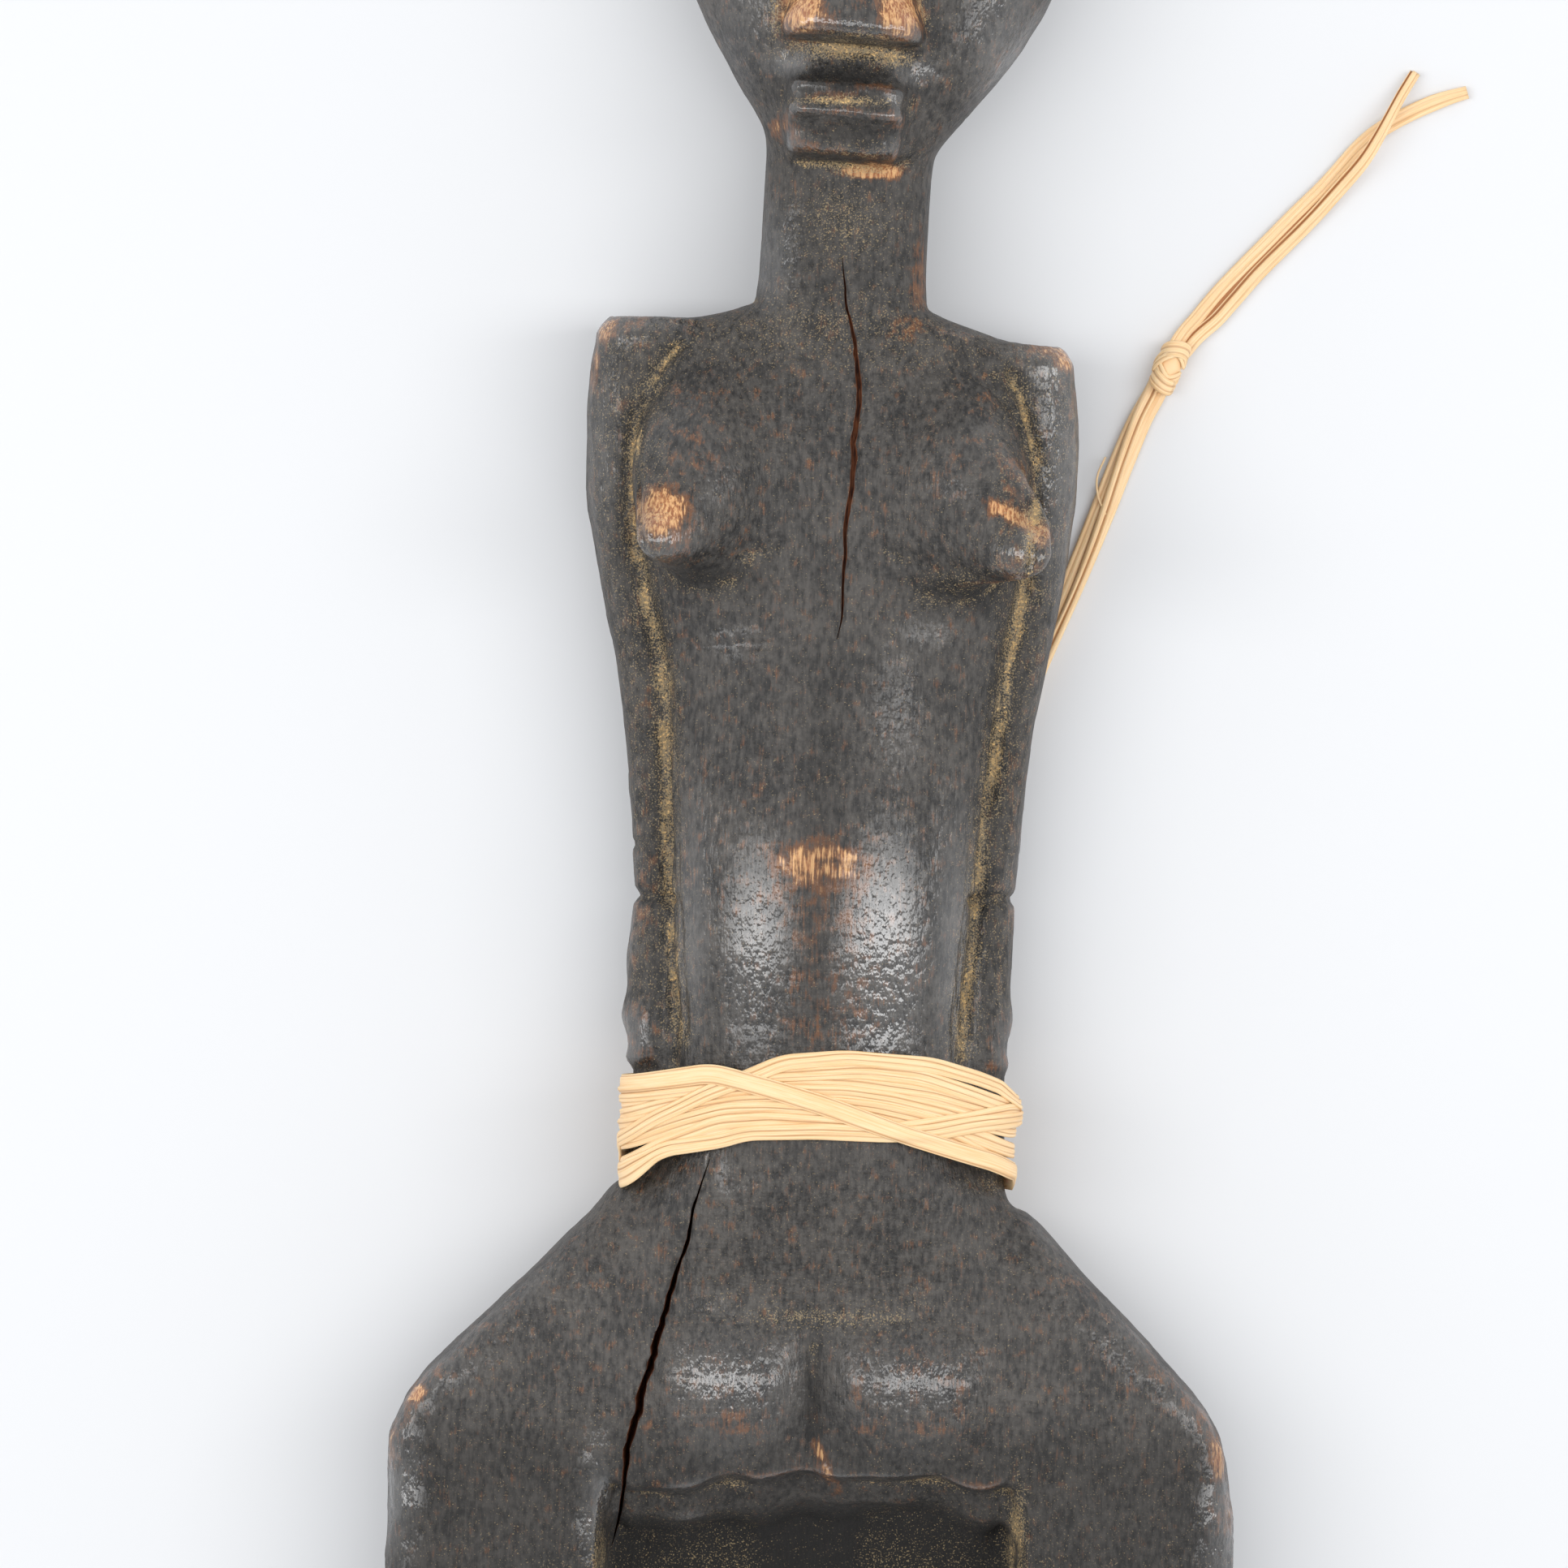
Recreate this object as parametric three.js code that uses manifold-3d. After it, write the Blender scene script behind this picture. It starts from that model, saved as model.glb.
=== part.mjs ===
// A carved wooden fertility doll, 357 mm tall, laid on its back: +Z is the figure's front, +Y its head, and +X is
// on the right for someone who looks at its front. One block of wood carries the whole figure, and a long strip
// of raffia is wound round the waist, knotted behind it and left with a tail.
// Millimetres. The origin is the centre of the figure's own box, on the plane that its back rests on.
import * as THREE from "three";
import { LoftGeometry } from "three/addons/geometries/LoftGeometry.js";
import { mergeVertices } from "three/addons/utils/BufferGeometryUtils.js";
import Module from "manifold-3d";

// Levels along the figure, measured from the middle of the waist.
const HEAD_TOP = 205.5;
const CHIN = 138;
const SHOULDER = 112.5;
const LEDGE = -32.5; // the hollow line across the lower belly
const PAD_END = -55.5; // where the two pads end and a step leads down to the recess
const RECESS_TOP = -61.5;
const CROTCH = -78; // where the legs part
const SOLE = -151.5;

// Sizes across the figure.
const SHOULDER_WIDTH = 73;
const WAIST_WIDTH = 56.4;
const WAIST_DEPTH = 21.6;
const HIP_WIDTH = 125;
const LEG_GAP = 60.6;
const NECK_WIDTH = 24.8;
const HEAD_WIDTH = 60.6;
const FOOT_WIDTH = 28;
const FOOT_LENGTH = 39;
const HEAD_LEAN = THREE.MathUtils.degToRad(-4.2);
const FACE_SIDE = -1.5; // the features sit a little off the head's own middle
const FACE_DROP = -2;

// Heights above the plane that the back rests on.
const WAIST_BACK = 8.6; // underside of the waist, over the hollow of the back
const HOLLOW_DEPTH = 10;
const HOLLOW_CENTRE = 26;
const HOLLOW_REACH = 58; // half the length of the hollow
const STEP_FLOOR = 21.5;
const RECESS_FLOOR = 13;
const HIP_BACK = 2.4; // the back of the hips, between the seat pads
const BELOW = 1.6; // wood that is planed off to make the flat back and soles

// The raffia.
const STRIP_WIDTH = 2.7;
const STRIP_THICKNESS = 0.36;
const CLEARANCE = 0.3;
const TAIL_WIDTH = 3.6;
const END_WIDTH = 2.6;
const TAIL_SIDES = 8;

const WAIST_SQUARENESS = 2.5;
const WAIST_MID = WAIST_BACK + WAIST_DEPTH / 2;
const SEAT_TOP = 8.5; // the stretch of the waist that the binding covers
const SEAT_BOTTOM_LEFT = -13.2;
const SEAT_BOTTOM_RIGHT = -16.5;
const RING_POINTS = 28;
const TURN_STEPS = 44;

const wasm = await Module();
wasm.setup();

function solid(geometry) {
  const bare = new THREE.BufferGeometry();
  bare.setAttribute("position", geometry.getAttribute("position"));
  bare.setIndex(geometry.index);
  const merged = mergeVertices(bare, 1e-3);
  return new wasm.Manifold(
    new wasm.Mesh({
      numProp: 3,
      vertProperties: new Float32Array(merged.attributes.position.array),
      triVerts: new Uint32Array(merged.index.array),
    }),
  );
}

function geometryOf(manifold) {
  const mesh = manifold.getMesh();
  const geometry = new THREE.BufferGeometry();
  geometry.setAttribute("position", new THREE.BufferAttribute(mesh.vertProperties, 3));
  geometry.setIndex(new THREE.BufferAttribute(mesh.triVerts, 1));
  geometry.computeVertexNormals();
  return geometry;
}

// One point of a rounded-square outline: squareness 2 is an ellipse, 6 is nearly a box.
function outlinePoint(angle, halfWidth, halfDepth, squareness) {
  const power = 2 / squareness;
  const cos = Math.cos(angle);
  const sin = Math.sin(angle);
  return new THREE.Vector2(
    halfWidth * Math.sign(cos) * Math.abs(cos) ** power,
    halfDepth * Math.sign(sin) * Math.abs(sin) ** power,
  );
}

// A body through cross sections stacked along Y. Each row is [y, left, right, back, front, squareness, tilt]:
// tilt is how far the section climbs in Y for each millimetre of X.
function bodyAlongY(rows, points = RING_POINTS) {
  const climbs = rows.at(-1)[0] > rows[0][0];
  const sections = rows.map(([y, left, right, back, front, squareness, tilt = 0]) => {
    const ring = [];
    for (let i = 0; i < points; i += 1) {
      const angle = (2 * Math.PI * (i + 0.5)) / points;
      const p = outlinePoint(angle, (right - left) / 2, (front - back) / 2, squareness);
      const x = (left + right) / 2 + p.x;
      ring.push(new THREE.Vector3(x, y + tilt * x, (back + front) / 2 + p.y));
    }
    return climbs ? ring.reverse() : ring;
  });
  return solid(new LoftGeometry(sections, { capStart: true, capEnd: true }));
}

// A body through cross sections stacked up Z. Each row is [z, x, y, halfWidth, halfHeight, squareness].
function bodyAlongZ(rows, points = RING_POINTS / 2) {
  const sections = rows.map(([z, x, y, halfWidth, halfHeight, squareness]) => {
    const ring = [];
    for (let i = 0; i < points; i += 1) {
      const angle = (2 * Math.PI * (i + 0.5)) / points;
      const p = outlinePoint(angle, halfWidth, halfHeight, squareness);
      ring.push(new THREE.Vector3(x + p.x, y + p.y, z));
    }
    return ring;
  });
  return solid(new LoftGeometry(sections, { capStart: true, capEnd: true }));
}

function block(left, right, low, high, back, front) {
  const box = new THREE.BoxGeometry(right - left, high - low, front - back);
  box.translate((left + right) / 2, (low + high) / 2, (back + front) / 2);
  return solid(box);
}

// Shoulders, arms and hips: one flat slab with square shoulders, narrow at the waist and wide at the hips.
function slab() {
  const shoulder = SHOULDER_WIDTH / 2;
  const waist = WAIST_WIDTH / 2;
  const hip = HIP_WIDTH / 2;
  const upper = (share) => waist + share * (shoulder - waist);
  const lower = (share) => waist + share * (hip - waist);
  const rows = [
    [SHOULDER, -upper(0.6), upper(0.72), 1.5, 23.5, 4.5, -0.05],
    [SHOULDER - 2.5, -upper(0.84), upper(0.92), -BELOW, 25.5, 5, -0.05],
    [SHOULDER - 12, -upper(0.98), upper(1.02), -BELOW, 25.5, 5, -0.02],
    [SHOULDER - 24, -upper(0.97), upper(1.01), -BELOW, 24, 5],
    [SHOULDER - 35, -upper(0.74), upper(0.84), -BELOW, 22.5, 5],
    [SHOULDER - 47, -upper(0.44), upper(0.58), -BELOW, 21.5, 5],
    [55, -upper(0.22), upper(0.34), -BELOW, 21, 5],
    [42, -upper(0.09), upper(0.16), -BELOW, 20.5, 5],
    [30, -upper(0.0), upper(0.06), -BELOW, 20, 5],
    [18, -upper(0.08), upper(0.04), -BELOW, 20, 5],
    [4, -upper(0.0), upper(0.0), -BELOW, 20.5, 4.5],
    [-8, -waist, waist, 1, 21.5, 4.5],
    [-14, -lower(0.05), waist, HIP_BACK, 22.5, 4.5],
    [-18.5, -lower(0.16), lower(0.14), HIP_BACK, 24, 5],
    [-26, -lower(0.38), lower(0.33), HIP_BACK, 26, 6],
    [-34, -lower(0.62), lower(0.57), HIP_BACK, 27, 7],
    [-41.5, -lower(0.84), lower(0.77), HIP_BACK, 27.5, 7],
    [-46, -lower(0.94), lower(0.88), HIP_BACK, 27.5, 7],
    [-51, -lower(1.0), lower(0.95), HIP_BACK, 27.5, 7],
    [-60, -hip, lower(0.99), HIP_BACK, 27.5, 7],
    [-70, -hip, hip, HIP_BACK, 27.5, 7],
    [CROTCH - 4, -hip, hip, HIP_BACK, 27.5, 7],
  ];
  return bodyAlongY(rows);
}

// The rounded trunk that stands proud of the arms, from the collar to the lower belly.
function trunk() {
  const front = WAIST_BACK + WAIST_DEPTH;
  const rows = [
    [SHOULDER + 3, -13, 15, 5, 24, 2.6, -0.03],
    [SHOULDER, -23, 25, 4, 26.3, 2.8, -0.03],
    [SHOULDER - 7, -27.5, 28.5, 4, 27.8, 2.8, -0.02],
    [SHOULDER - 16, -29.3, 30, 4, 29, 2.6],
    [SHOULDER - 25, -29.4, 30.4, 4, 30, 2.5],
    [SHOULDER - 33, -28.5, 30, 4, 30, 2.5],
    [SHOULDER - 40, -27, 28.8, 4, 29.2, 2.4],
    [SHOULDER - 49, -24.8, 27, 4, 29, 2.4],
    [54, -23.8, 25.4, 4, 29.8, 2.3],
    [43, -23.3, 23.8, 4, 31.2, 2.3],
    [32, -22.7, 22.8, 4, 32, 2.3],
    [20, -21.9, 21.7, 4, 31.8, 2.4],
    [9, -20.8, 20.6, 4, front + 0.6, 2.5],
    [0, -20.6, 20.6, 4, front - 0.2, 2.6],
    [-8, -22, 22, 4, front - 0.8, 2.8],
    [-15, -26, 26, 4, 28.9, 3],
    [-22, -29.2, 28.6, 4, 27.9, 3.6],
    [LEDGE + 3, -29.4, 28.8, 4, 26.4, 4],
    [LEDGE, -29.4, 28.8, 4, 25.6, 4],
    [PAD_END, -29.4, 28.8, 4, 26, 4],
  ];
  return bodyAlongY(rows);
}

// A breast is a cone that leans outwards and down, with a blunt tip.
function breast(side, tipX, tipY) {
  const rows = [
    [20, side * 15.2, tipY + 11, 13.8, 20, 2],
    [27, side * 16.6, tipY + 10.4, 12.6, 16.8, 2],
    [30.5, side * 19, tipY + 7.4, 9.8, 11.8, 2],
    [33.8, tipX - side * 4.7, tipY + 4, 6.6, 7.4, 2],
    [36.4, tipX - side * 2.4, tipY + 1.2, 4.1, 4, 2],
    [38.2, tipX - side * 1.1, tipY + 0.4, 2.4, 2.4, 2],
    [38.9, tipX - side * 0.9, tipY + 0.3, 1, 1, 2],
  ];
  return bodyAlongZ(rows);
}

// The two raised pads below the belly, either side of a narrow upright groove.
function pad(left, right) {
  const rows = [
    [LEDGE + 0.5, left + 3, right - 2, 18, 26, 3],
    [LEDGE - 2.5, left + 0.8, right - 0.4, 18, 29, 3],
    [LEDGE - 9, left, right, 18, 30.6, 3],
    [LEDGE - 16, left + 0.4, right, 18, 30.2, 3],
    [PAD_END + 2, left + 1.4, right - 0.8, 18, 28, 3],
    [PAD_END - 0.6, left + 3, right - 2.4, 18, 24, 3],
  ];
  return bodyAlongY(rows, RING_POINTS / 2);
}

// The V-shaped groove between the pads.
function padGroove() {
  const rows = [
    [LEDGE - 0.5, -1.4, 1.2, 28, 36, 1],
    [LEDGE - 4, -2.7, 2.4, 25, 36, 1],
    [PAD_END + 8, -2.6, 2.4, 25.2, 36, 1],
    [PAD_END - 1, -2, 1.8, 25.4, 36, 1],
  ];
  return bodyAlongY(rows, 8);
}

// A buttock, planed flat where the figure rests on it.
function buttock(side) {
  const row = (y, narrow, back) => {
    const edges = [side * (2 + narrow), side * (36 - narrow)].sort((a, b) => a - b);
    return [y, ...edges, back, 14, 3];
  };
  const rows = [
    row(-17, 9, 8),
    row(-22, 4.5, 3.2),
    row(-29, 1.4, 0.2),
    row(-38, 0, -BELOW),
    row(-50, 0, -BELOW),
    row(-58, 1.6, -BELOW),
    row(-65, 5.5, 0.6),
    row(-69, 10, 4),
  ];
  return bodyAlongY(rows);
}

// A leg from inside the hip to the ankle, with a knee and a calf.
function leg(side) {
  const outer = HIP_WIDTH / 2;
  const inner = LEG_GAP / 2;
  const across = (y, inset, narrow, back, front, squareness) => {
    const edges = [side * (inner + inset), side * (outer - narrow)].sort((a, b) => a - b);
    return [y, ...edges, back, front, squareness];
  };
  const rows = [
    across(CROTCH + 6, 0, 0.6, HIP_BACK, 27, 7),
    across(CROTCH - 4, 0, 0.2, HIP_BACK, 27.4, 6),
    across(CROTCH - 11, 0.4, 0.8, HIP_BACK, 29, 5),
    across(CROTCH - 17, 0.8, 1.6, 2.6, 29.6, 4.5),
    across(CROTCH - 24, 1.8, 3.2, 3, 26.4, 4),
    across(CROTCH - 33, 1.2, 3.2, 1.4, 25.2, 3.6),
    across(CROTCH - 43, 1.8, 5, 1.8, 24.4, 3.4),
    across(SOLE + 22, 3.8, 8.4, 3.6, 23, 3.2),
    across(SOLE + 15, 4.4, 9.2, 3.8, 23, 3.2),
    across(SOLE + 7, 4.4, 9.2, 2.6, 24, 3.4),
  ];
  return bodyAlongY(rows);
}

// A foot is a blunt wedge from heel to toes with a flat sole.
function foot(side) {
  const middle = (side * (LEG_GAP / 2 + HIP_WIDTH / 2 - 5)) / 2;
  const half = FOOT_WIDTH / 2;
  const row = (z, rise, halfWidth) => {
    const halfHeight = (rise + BELOW) / 2;
    return [z, middle, SOLE - BELOW + halfHeight, halfWidth, halfHeight, 6];
  };
  const rows = [
    row(-BELOW, 10, half - 3.6),
    row(4, 12, half - 2.4),
    row(18, 13, half - 1),
    row(25, 12, half - 0.4),
    row(32, 9, half),
    row(FOOT_LENGTH - 1.6, 7, half - 0.8),
    row(FOOT_LENGTH, 5, half - 2.8),
  ];
  return bodyAlongZ(rows, RING_POINTS);
}

function neck() {
  const half = NECK_WIDTH / 2;
  const row = (y, middle, back, front) => [y, middle - half, middle + half, back, front, 3.2];
  const rows = [
    [SHOULDER - 6, -half - 3, half + 5, 5, 27, 2.6],
    [SHOULDER + 0.5, -half - 1.2, half + 2.8, 4.6, 26.6, 3],
    row(SHOULDER + 4, 1, 4.6, 26.2),
    row(SHOULDER + 12, 1.3, 5, 25.6),
    row(CHIN - 5, 1.7, 5, 25.4),
    row(CHIN + 5, 2.1, 5, 26),
  ];
  return bodyAlongY(rows);
}

// The head narrows to the chin in a V. Its features stand proud of the face; heights are above the chin.
function head() {
  const half = HEAD_WIDTH / 2;
  const rise = HEAD_TOP - CHIN;
  const skull = bodyAlongY([
    [0.2, -0.37 * half, 0.37 * half, 7.5, 28.4, 2.6],
    [2.6, -0.43 * half, 0.43 * half, 6, 29.6, 2.6],
    [5.6, -0.5 * half, 0.5 * half, 4.6, 30.4, 2.5],
    [10.4, -0.615 * half, 0.615 * half, 3.4, 31, 2.4],
    [16.4, -0.75 * half, 0.75 * half, 2.6, 31.4, 2.4],
    [23.6, -0.88 * half, 0.88 * half, 2, 31.6, 2.4],
    [31, -0.967 * half, 0.967 * half, 1.6, 31.6, 2.4],
    [38, -half, half, 1.5, 32, 2.4],
    [rise - 21, -0.98 * half, 0.98 * half, 1.8, 33.4, 2.3],
    [rise - 14, -0.9 * half, 0.9 * half, 2.8, 33.8, 2.2],
    [rise - 8, -0.76 * half, 0.76 * half, 4.8, 32.6, 2.1],
    [rise - 3.4, -0.56 * half, 0.56 * half, 8, 30, 2],
    [rise - 0.9, -0.32 * half, 0.32 * half, 12, 26, 2],
    [rise, -0.14 * half, 0.14 * half, 15.5, 22.5, 2],
  ]);
  const muzzle = bodyAlongY([
    [0.6, -7.4, 7.4, 20, 31.6, 4],
    [1.8, -8.4, 8.4, 20, 33.4, 4],
    [4.4, -8.9, 8.9, 20, 33.8, 4],
    [5.2, -9, 9, 20, 34, 4],
    [12.2, -9.2, 9.2, 20, 33.8, 3.4],
    [17.5, -8.6, 8.6, 20, 32.4, 3],
  ]);
  const lip = (low, high, front) =>
    bodyAlongY([
      [low, -7.2, 7.2, 28, front - 1, 4],
      [low + 0.5, -8.6, 8.6, 28, front, 4],
      [high - 0.5, -8.6, 8.6, 28, front, 4],
      [high, -7.2, 7.2, 28, front - 1, 4],
    ]);
  const nose = bodyAlongY([
    [17.3, -10, 10, 26, 38.6, 3.4],
    [18.4, -10.4, 10.4, 26, 40.6, 3],
    [20.6, -10, 10, 26, 40.4, 2.8],
    [24, -8.6, 8.6, 26, 39.4, 2.6],
    [30, -6.4, 6.4, 26, 37.4, 2.5],
    [38, -4.6, 4.6, 26, 35.4, 2.4],
    [44, -5, 5, 26, 34, 2.4],
  ]);
  const brow = (side) =>
    bodyAlongZ([
      [26, side * 13, 43.6, 11.8, 3.2, 2.4],
      [32.4, side * 12.6, 43.4, 11, 2.4, 2.4],
      [34.2, side * 11.6, 43.2, 9, 1.2, 2.4],
    ]);
  const eye = (side) =>
    bodyAlongZ([
      [26, side * 12.8, 37, 6.8, 3.4, 2],
      [31, side * 12.6, 37, 6, 2.8, 2],
      [32.6, side * 12.4, 37, 4.6, 1.7, 2],
      [33.2, side * 12.4, 37, 2.6, 0.8, 2],
    ]);
  // The slit across each closed eye.
  const slit = (side) => block(side * 12.4 - 5.4, side * 12.4 + 5.4, 36.7, 37.4, 31.6, 36);
  const features = [
    muzzle,
    lip(5.6, 8.3, 36.4),
    lip(8.9, 11.6, 36),
    nose,
    brow(-1),
    brow(1),
    eye(-1).subtract(slit(-1)),
    eye(1).subtract(slit(1)),
  ]
    .reduce((whole, piece) => whole.add(piece))
    .translate([FACE_SIDE, FACE_DROP, 0]);
  const place = new THREE.Matrix4().makeRotationZ(HEAD_LEAN);
  place.setPosition(2.2, CHIN, 0);
  return skull.add(features).transform(place.toArray());
}

// A long arch under the back, so that the figure lies on its shoulders and hips.
function backHollow() {
  const radius = (HOLLOW_REACH ** 2 + HOLLOW_DEPTH ** 2) / (2 * HOLLOW_DEPTH);
  const half = Math.asin(HOLLOW_REACH / radius);
  const arch = new THREE.Shape();
  arch.moveTo(-HOLLOW_REACH, -BELOW - 2);
  const steps = 16;
  for (let i = 0; i <= steps; i += 1) {
    const angle = -half + (2 * half * i) / steps;
    arch.lineTo(radius * Math.sin(angle), HOLLOW_DEPTH - radius * (1 - Math.cos(angle)));
  }
  arch.lineTo(HOLLOW_REACH, -BELOW - 2);
  arch.closePath();
  const cut = new THREE.ExtrudeGeometry(arch, { depth: HIP_WIDTH + 20, bevelEnabled: false });
  cut.translate(0, 0, -HIP_WIDTH / 2 - 10);
  // Shape X becomes the figure's Y, shape Y its Z, and the extrusion runs across the figure.
  const turn = new THREE.Matrix4().makeBasis(
    new THREE.Vector3(0, 1, 0),
    new THREE.Vector3(0, 0, 1),
    new THREE.Vector3(1, 0, 0),
  );
  cut.applyMatrix4(turn);
  cut.translate(0, HOLLOW_CENTRE, 0);
  return solid(cut);
}

// Everything outside the waist's own outline, over the stretch that the binding covers.
function bindingSeat() {
  const reach = HIP_WIDTH;
  const left = block(-reach, 0, SEAT_BOTTOM_LEFT, SEAT_TOP, -reach, reach);
  const right = block(0, reach, SEAT_BOTTOM_RIGHT, SEAT_TOP, -reach, reach);
  const half = WAIST_WIDTH / 2;
  const core = bodyAlongY([
    [SEAT_BOTTOM_RIGHT - 1, -half, half, WAIST_BACK, WAIST_BACK + WAIST_DEPTH, WAIST_SQUARENESS],
    [SEAT_TOP + 1, -half, half, WAIST_BACK, WAIST_BACK + WAIST_DEPTH, WAIST_SQUARENESS],
  ]);
  return left.add(right).subtract(core);
}

function carvedFigure() {
  const gap = LEG_GAP / 2;
  const far = HIP_WIDTH;
  const step = block(-gap, gap, RECESS_TOP - 1, PAD_END - 0.8, STEP_FLOOR, far);
  const recess = block(-gap, gap, SOLE - far, RECESS_TOP, RECESS_FLOOR, far);
  const legGap = block(-gap, gap, SOLE - far, CROTCH, -far, far);
  const planed = block(-far, far, SOLE - far, HEAD_TOP + far, -far, 0);
  const underFeet = block(-far, far, SOLE - far, SOLE, -far, far);
  const torso = [slab(), trunk(), breast(-1, -26.6, 80), breast(1, 30.2, 78.6), pad(-24.6, -2.4), pad(2.2, 26.6)]
    .reduce((whole, piece) => whole.add(piece))
    .subtract(padGroove())
    .subtract(step)
    .subtract(recess)
    .subtract(legGap);
  return [neck(), head(), buttock(-1), buttock(1), leg(-1), leg(1), foot(-1), foot(1)]
    .reduce((whole, piece) => whole.add(piece), torso)
    .subtract(backHollow())
    .subtract(bindingSeat())
    .subtract(planed)
    .subtract(underFeet);
}

// The waist's outline at one angle: the point on it, and the way straight out from it.
function waistPoint(angle) {
  const half = WAIST_WIDTH / 2;
  const deep = WAIST_DEPTH / 2;
  const p = outlinePoint(angle, half, deep, WAIST_SQUARENESS);
  const out = new THREE.Vector2(
    (Math.sign(p.x) * (Math.abs(p.x) / half) ** (WAIST_SQUARENESS - 1)) / half,
    (Math.sign(p.y) * (Math.abs(p.y) / deep) ** (WAIST_SQUARENESS - 1)) / deep,
  ).normalize();
  return { p, out };
}

// Where the middle of the binding runs: high in front, low at the sides and behind.
function bindingMiddle(angle) {
  return -3.2 + 3.6 * Math.sin(angle) - 2.2 * Math.cos(angle) ** 2;
}

// One turn of raffia strip as a closed flat band. It lies in its own layer, shifted along the figure by
// `shift` and slanting by `slant` from the left side to the right side.
function turn(layer, shift, slant) {
  const inner = CLEARANCE + layer * (STRIP_THICKNESS + CLEARANCE);
  const outer = inner + STRIP_THICKNESS;
  const sections = [];
  for (let i = 0; i <= TURN_STEPS; i += 1) {
    const angle = (2 * Math.PI * ((i % TURN_STEPS) + 0.5)) / TURN_STEPS;
    const { p, out } = waistPoint(angle);
    const middle = bindingMiddle(angle) + shift + slant * Math.cos(angle);
    const at = (distance, y) =>
      new THREE.Vector3(p.x + out.x * distance, y, WAIST_MID + p.y + out.y * distance);
    sections.push([
      at(inner, middle - STRIP_WIDTH / 2),
      at(outer, middle - STRIP_WIDTH / 2),
      at(outer, middle + STRIP_WIDTH / 2),
      at(inner, middle + STRIP_WIDTH / 2),
    ]);
  }
  return solid(new LoftGeometry(sections));
}

// A strand of raffia along a route of chosen points.
function strand(points, width) {
  const path = new THREE.CatmullRomCurve3(points.map((p) => new THREE.Vector3(...p)), false, "centripetal");
  const section = new THREE.Shape();
  for (let i = 0; i < TAIL_SIDES; i += 1) {
    const angle = (2 * Math.PI * (i + 0.5)) / TAIL_SIDES;
    const x = (width / 2) * Math.cos(angle);
    const y = (width / 2) * Math.sin(angle);
    if (i === 0) section.moveTo(x, y);
    else section.lineTo(x, y);
  }
  section.closePath();
  const steps = Math.round(path.getLength() / (2.2 * width));
  return new THREE.ExtrudeGeometry(section, { steps, extrudePath: path, bevelEnabled: false });
}

// Routes along the surface that the figure lies on, from the waist outwards.
const TAIL_ROUTE = [
  [4.6, 1.6, 3.2],
  [6, 4.8, 2.6],
  [8, 9.6, 2.2],
  [10.8, 16, 2.1],
  [13.8, 22.8, 2.1],
  [17, 30, 2.1],
  [20.2, 37.4, 2.1],
  [23.4, 44.8, 2.1],
  [26.6, 52.2, 2.1],
  [29.8, 59.8, 2.1],
  [33.1, 67.5, 2.1],
  [36, 74.6, 2.1],
  [38.6, 81.2, 2.1],
  [41.2, 88, 2.1],
  [43.8, 95, 2.1],
  [46.2, 100.9, 2.1],
  [48.2, 104.7, 2.1],
];
const UNDER_END_ROUTE = [
  [52.4, 114.6, 2],
  [54.4, 117.4, 1.7],
  [57.2, 120.9, 1.6],
  [60.6, 124.6, 1.6],
  [64.6, 128.8, 1.6],
  [68.4, 132.8, 1.6],
  [71.6, 136, 1.6],
  [74.8, 139.3, 1.6],
  [78, 142.5, 1.6],
  [81.2, 145.1, 1.6],
  [84.6, 147.2, 1.6],
  [88, 148.9, 1.6],
  [91.2, 150.2, 1.6],
  [94.4, 151.2, 1.6],
];
const OVER_END_ROUTE = [
  [54.8, 112.8, 2],
  [57.6, 115.6, 1.7],
  [60.4, 118.8, 1.6],
  [63.6, 122.6, 1.6],
  [67, 126.2, 1.6],
  [70.4, 129.7, 1.7],
  [73.6, 133.2, 2.1],
  [76.4, 136.8, 3],
  [78.8, 140.2, 4.1],
  [80.8, 143.6, 4.7],
  [82.6, 147, 4.2],
  [84.4, 150.4, 3],
  [86.6, 154.1, 1.8],
];

const raffia = (colour) =>
  new THREE.MeshStandardMaterial({ color: colour, roughness: 0.62, metalness: 0 });
const stainedWood = new THREE.MeshStandardMaterial({ color: 0x2e2b29, roughness: 0.5, metalness: 0 });

const doll = new THREE.Group();
const waistUp = new THREE.Group();
waistUp.position.y = -(HEAD_TOP + SOLE) / 2;
doll.add(waistUp);

function addPiece(name, geometry, material) {
  const piece = new THREE.Mesh(geometry, material);
  piece.name = name;
  waistUp.add(piece);
}

addPiece("carved_figure", geometryOf(carvedFigure()), stainedWood);

// Each turn's layer out from the wood, its shift along the figure and its slant: four lie flat side by side,
// and the rest cross them, the last one from high on the left to low on the right.
const pitch = STRIP_WIDTH + CLEARANCE;
const TURNS = [
  [0, -1.5 * pitch, 0],
  [0, -0.5 * pitch, 0],
  [0, 0.5 * pitch, 0],
  [0, 1.5 * pitch, 0],
  [1, -0.9 * pitch, -1.2],
  [1, 0.2 * pitch, -1.2],
  [2, 0.4 * pitch, 4.2],
  [2, 1.45 * pitch, 4.2],
  [3, -0.3 * pitch, -8],
];
TURNS.forEach(([layer, shift, slant], i) => {
  addPiece(`raffia_turn_${i + 1}`, geometryOf(turn(layer, shift, slant)), raffia(0xf0d2a4));
});

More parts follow.
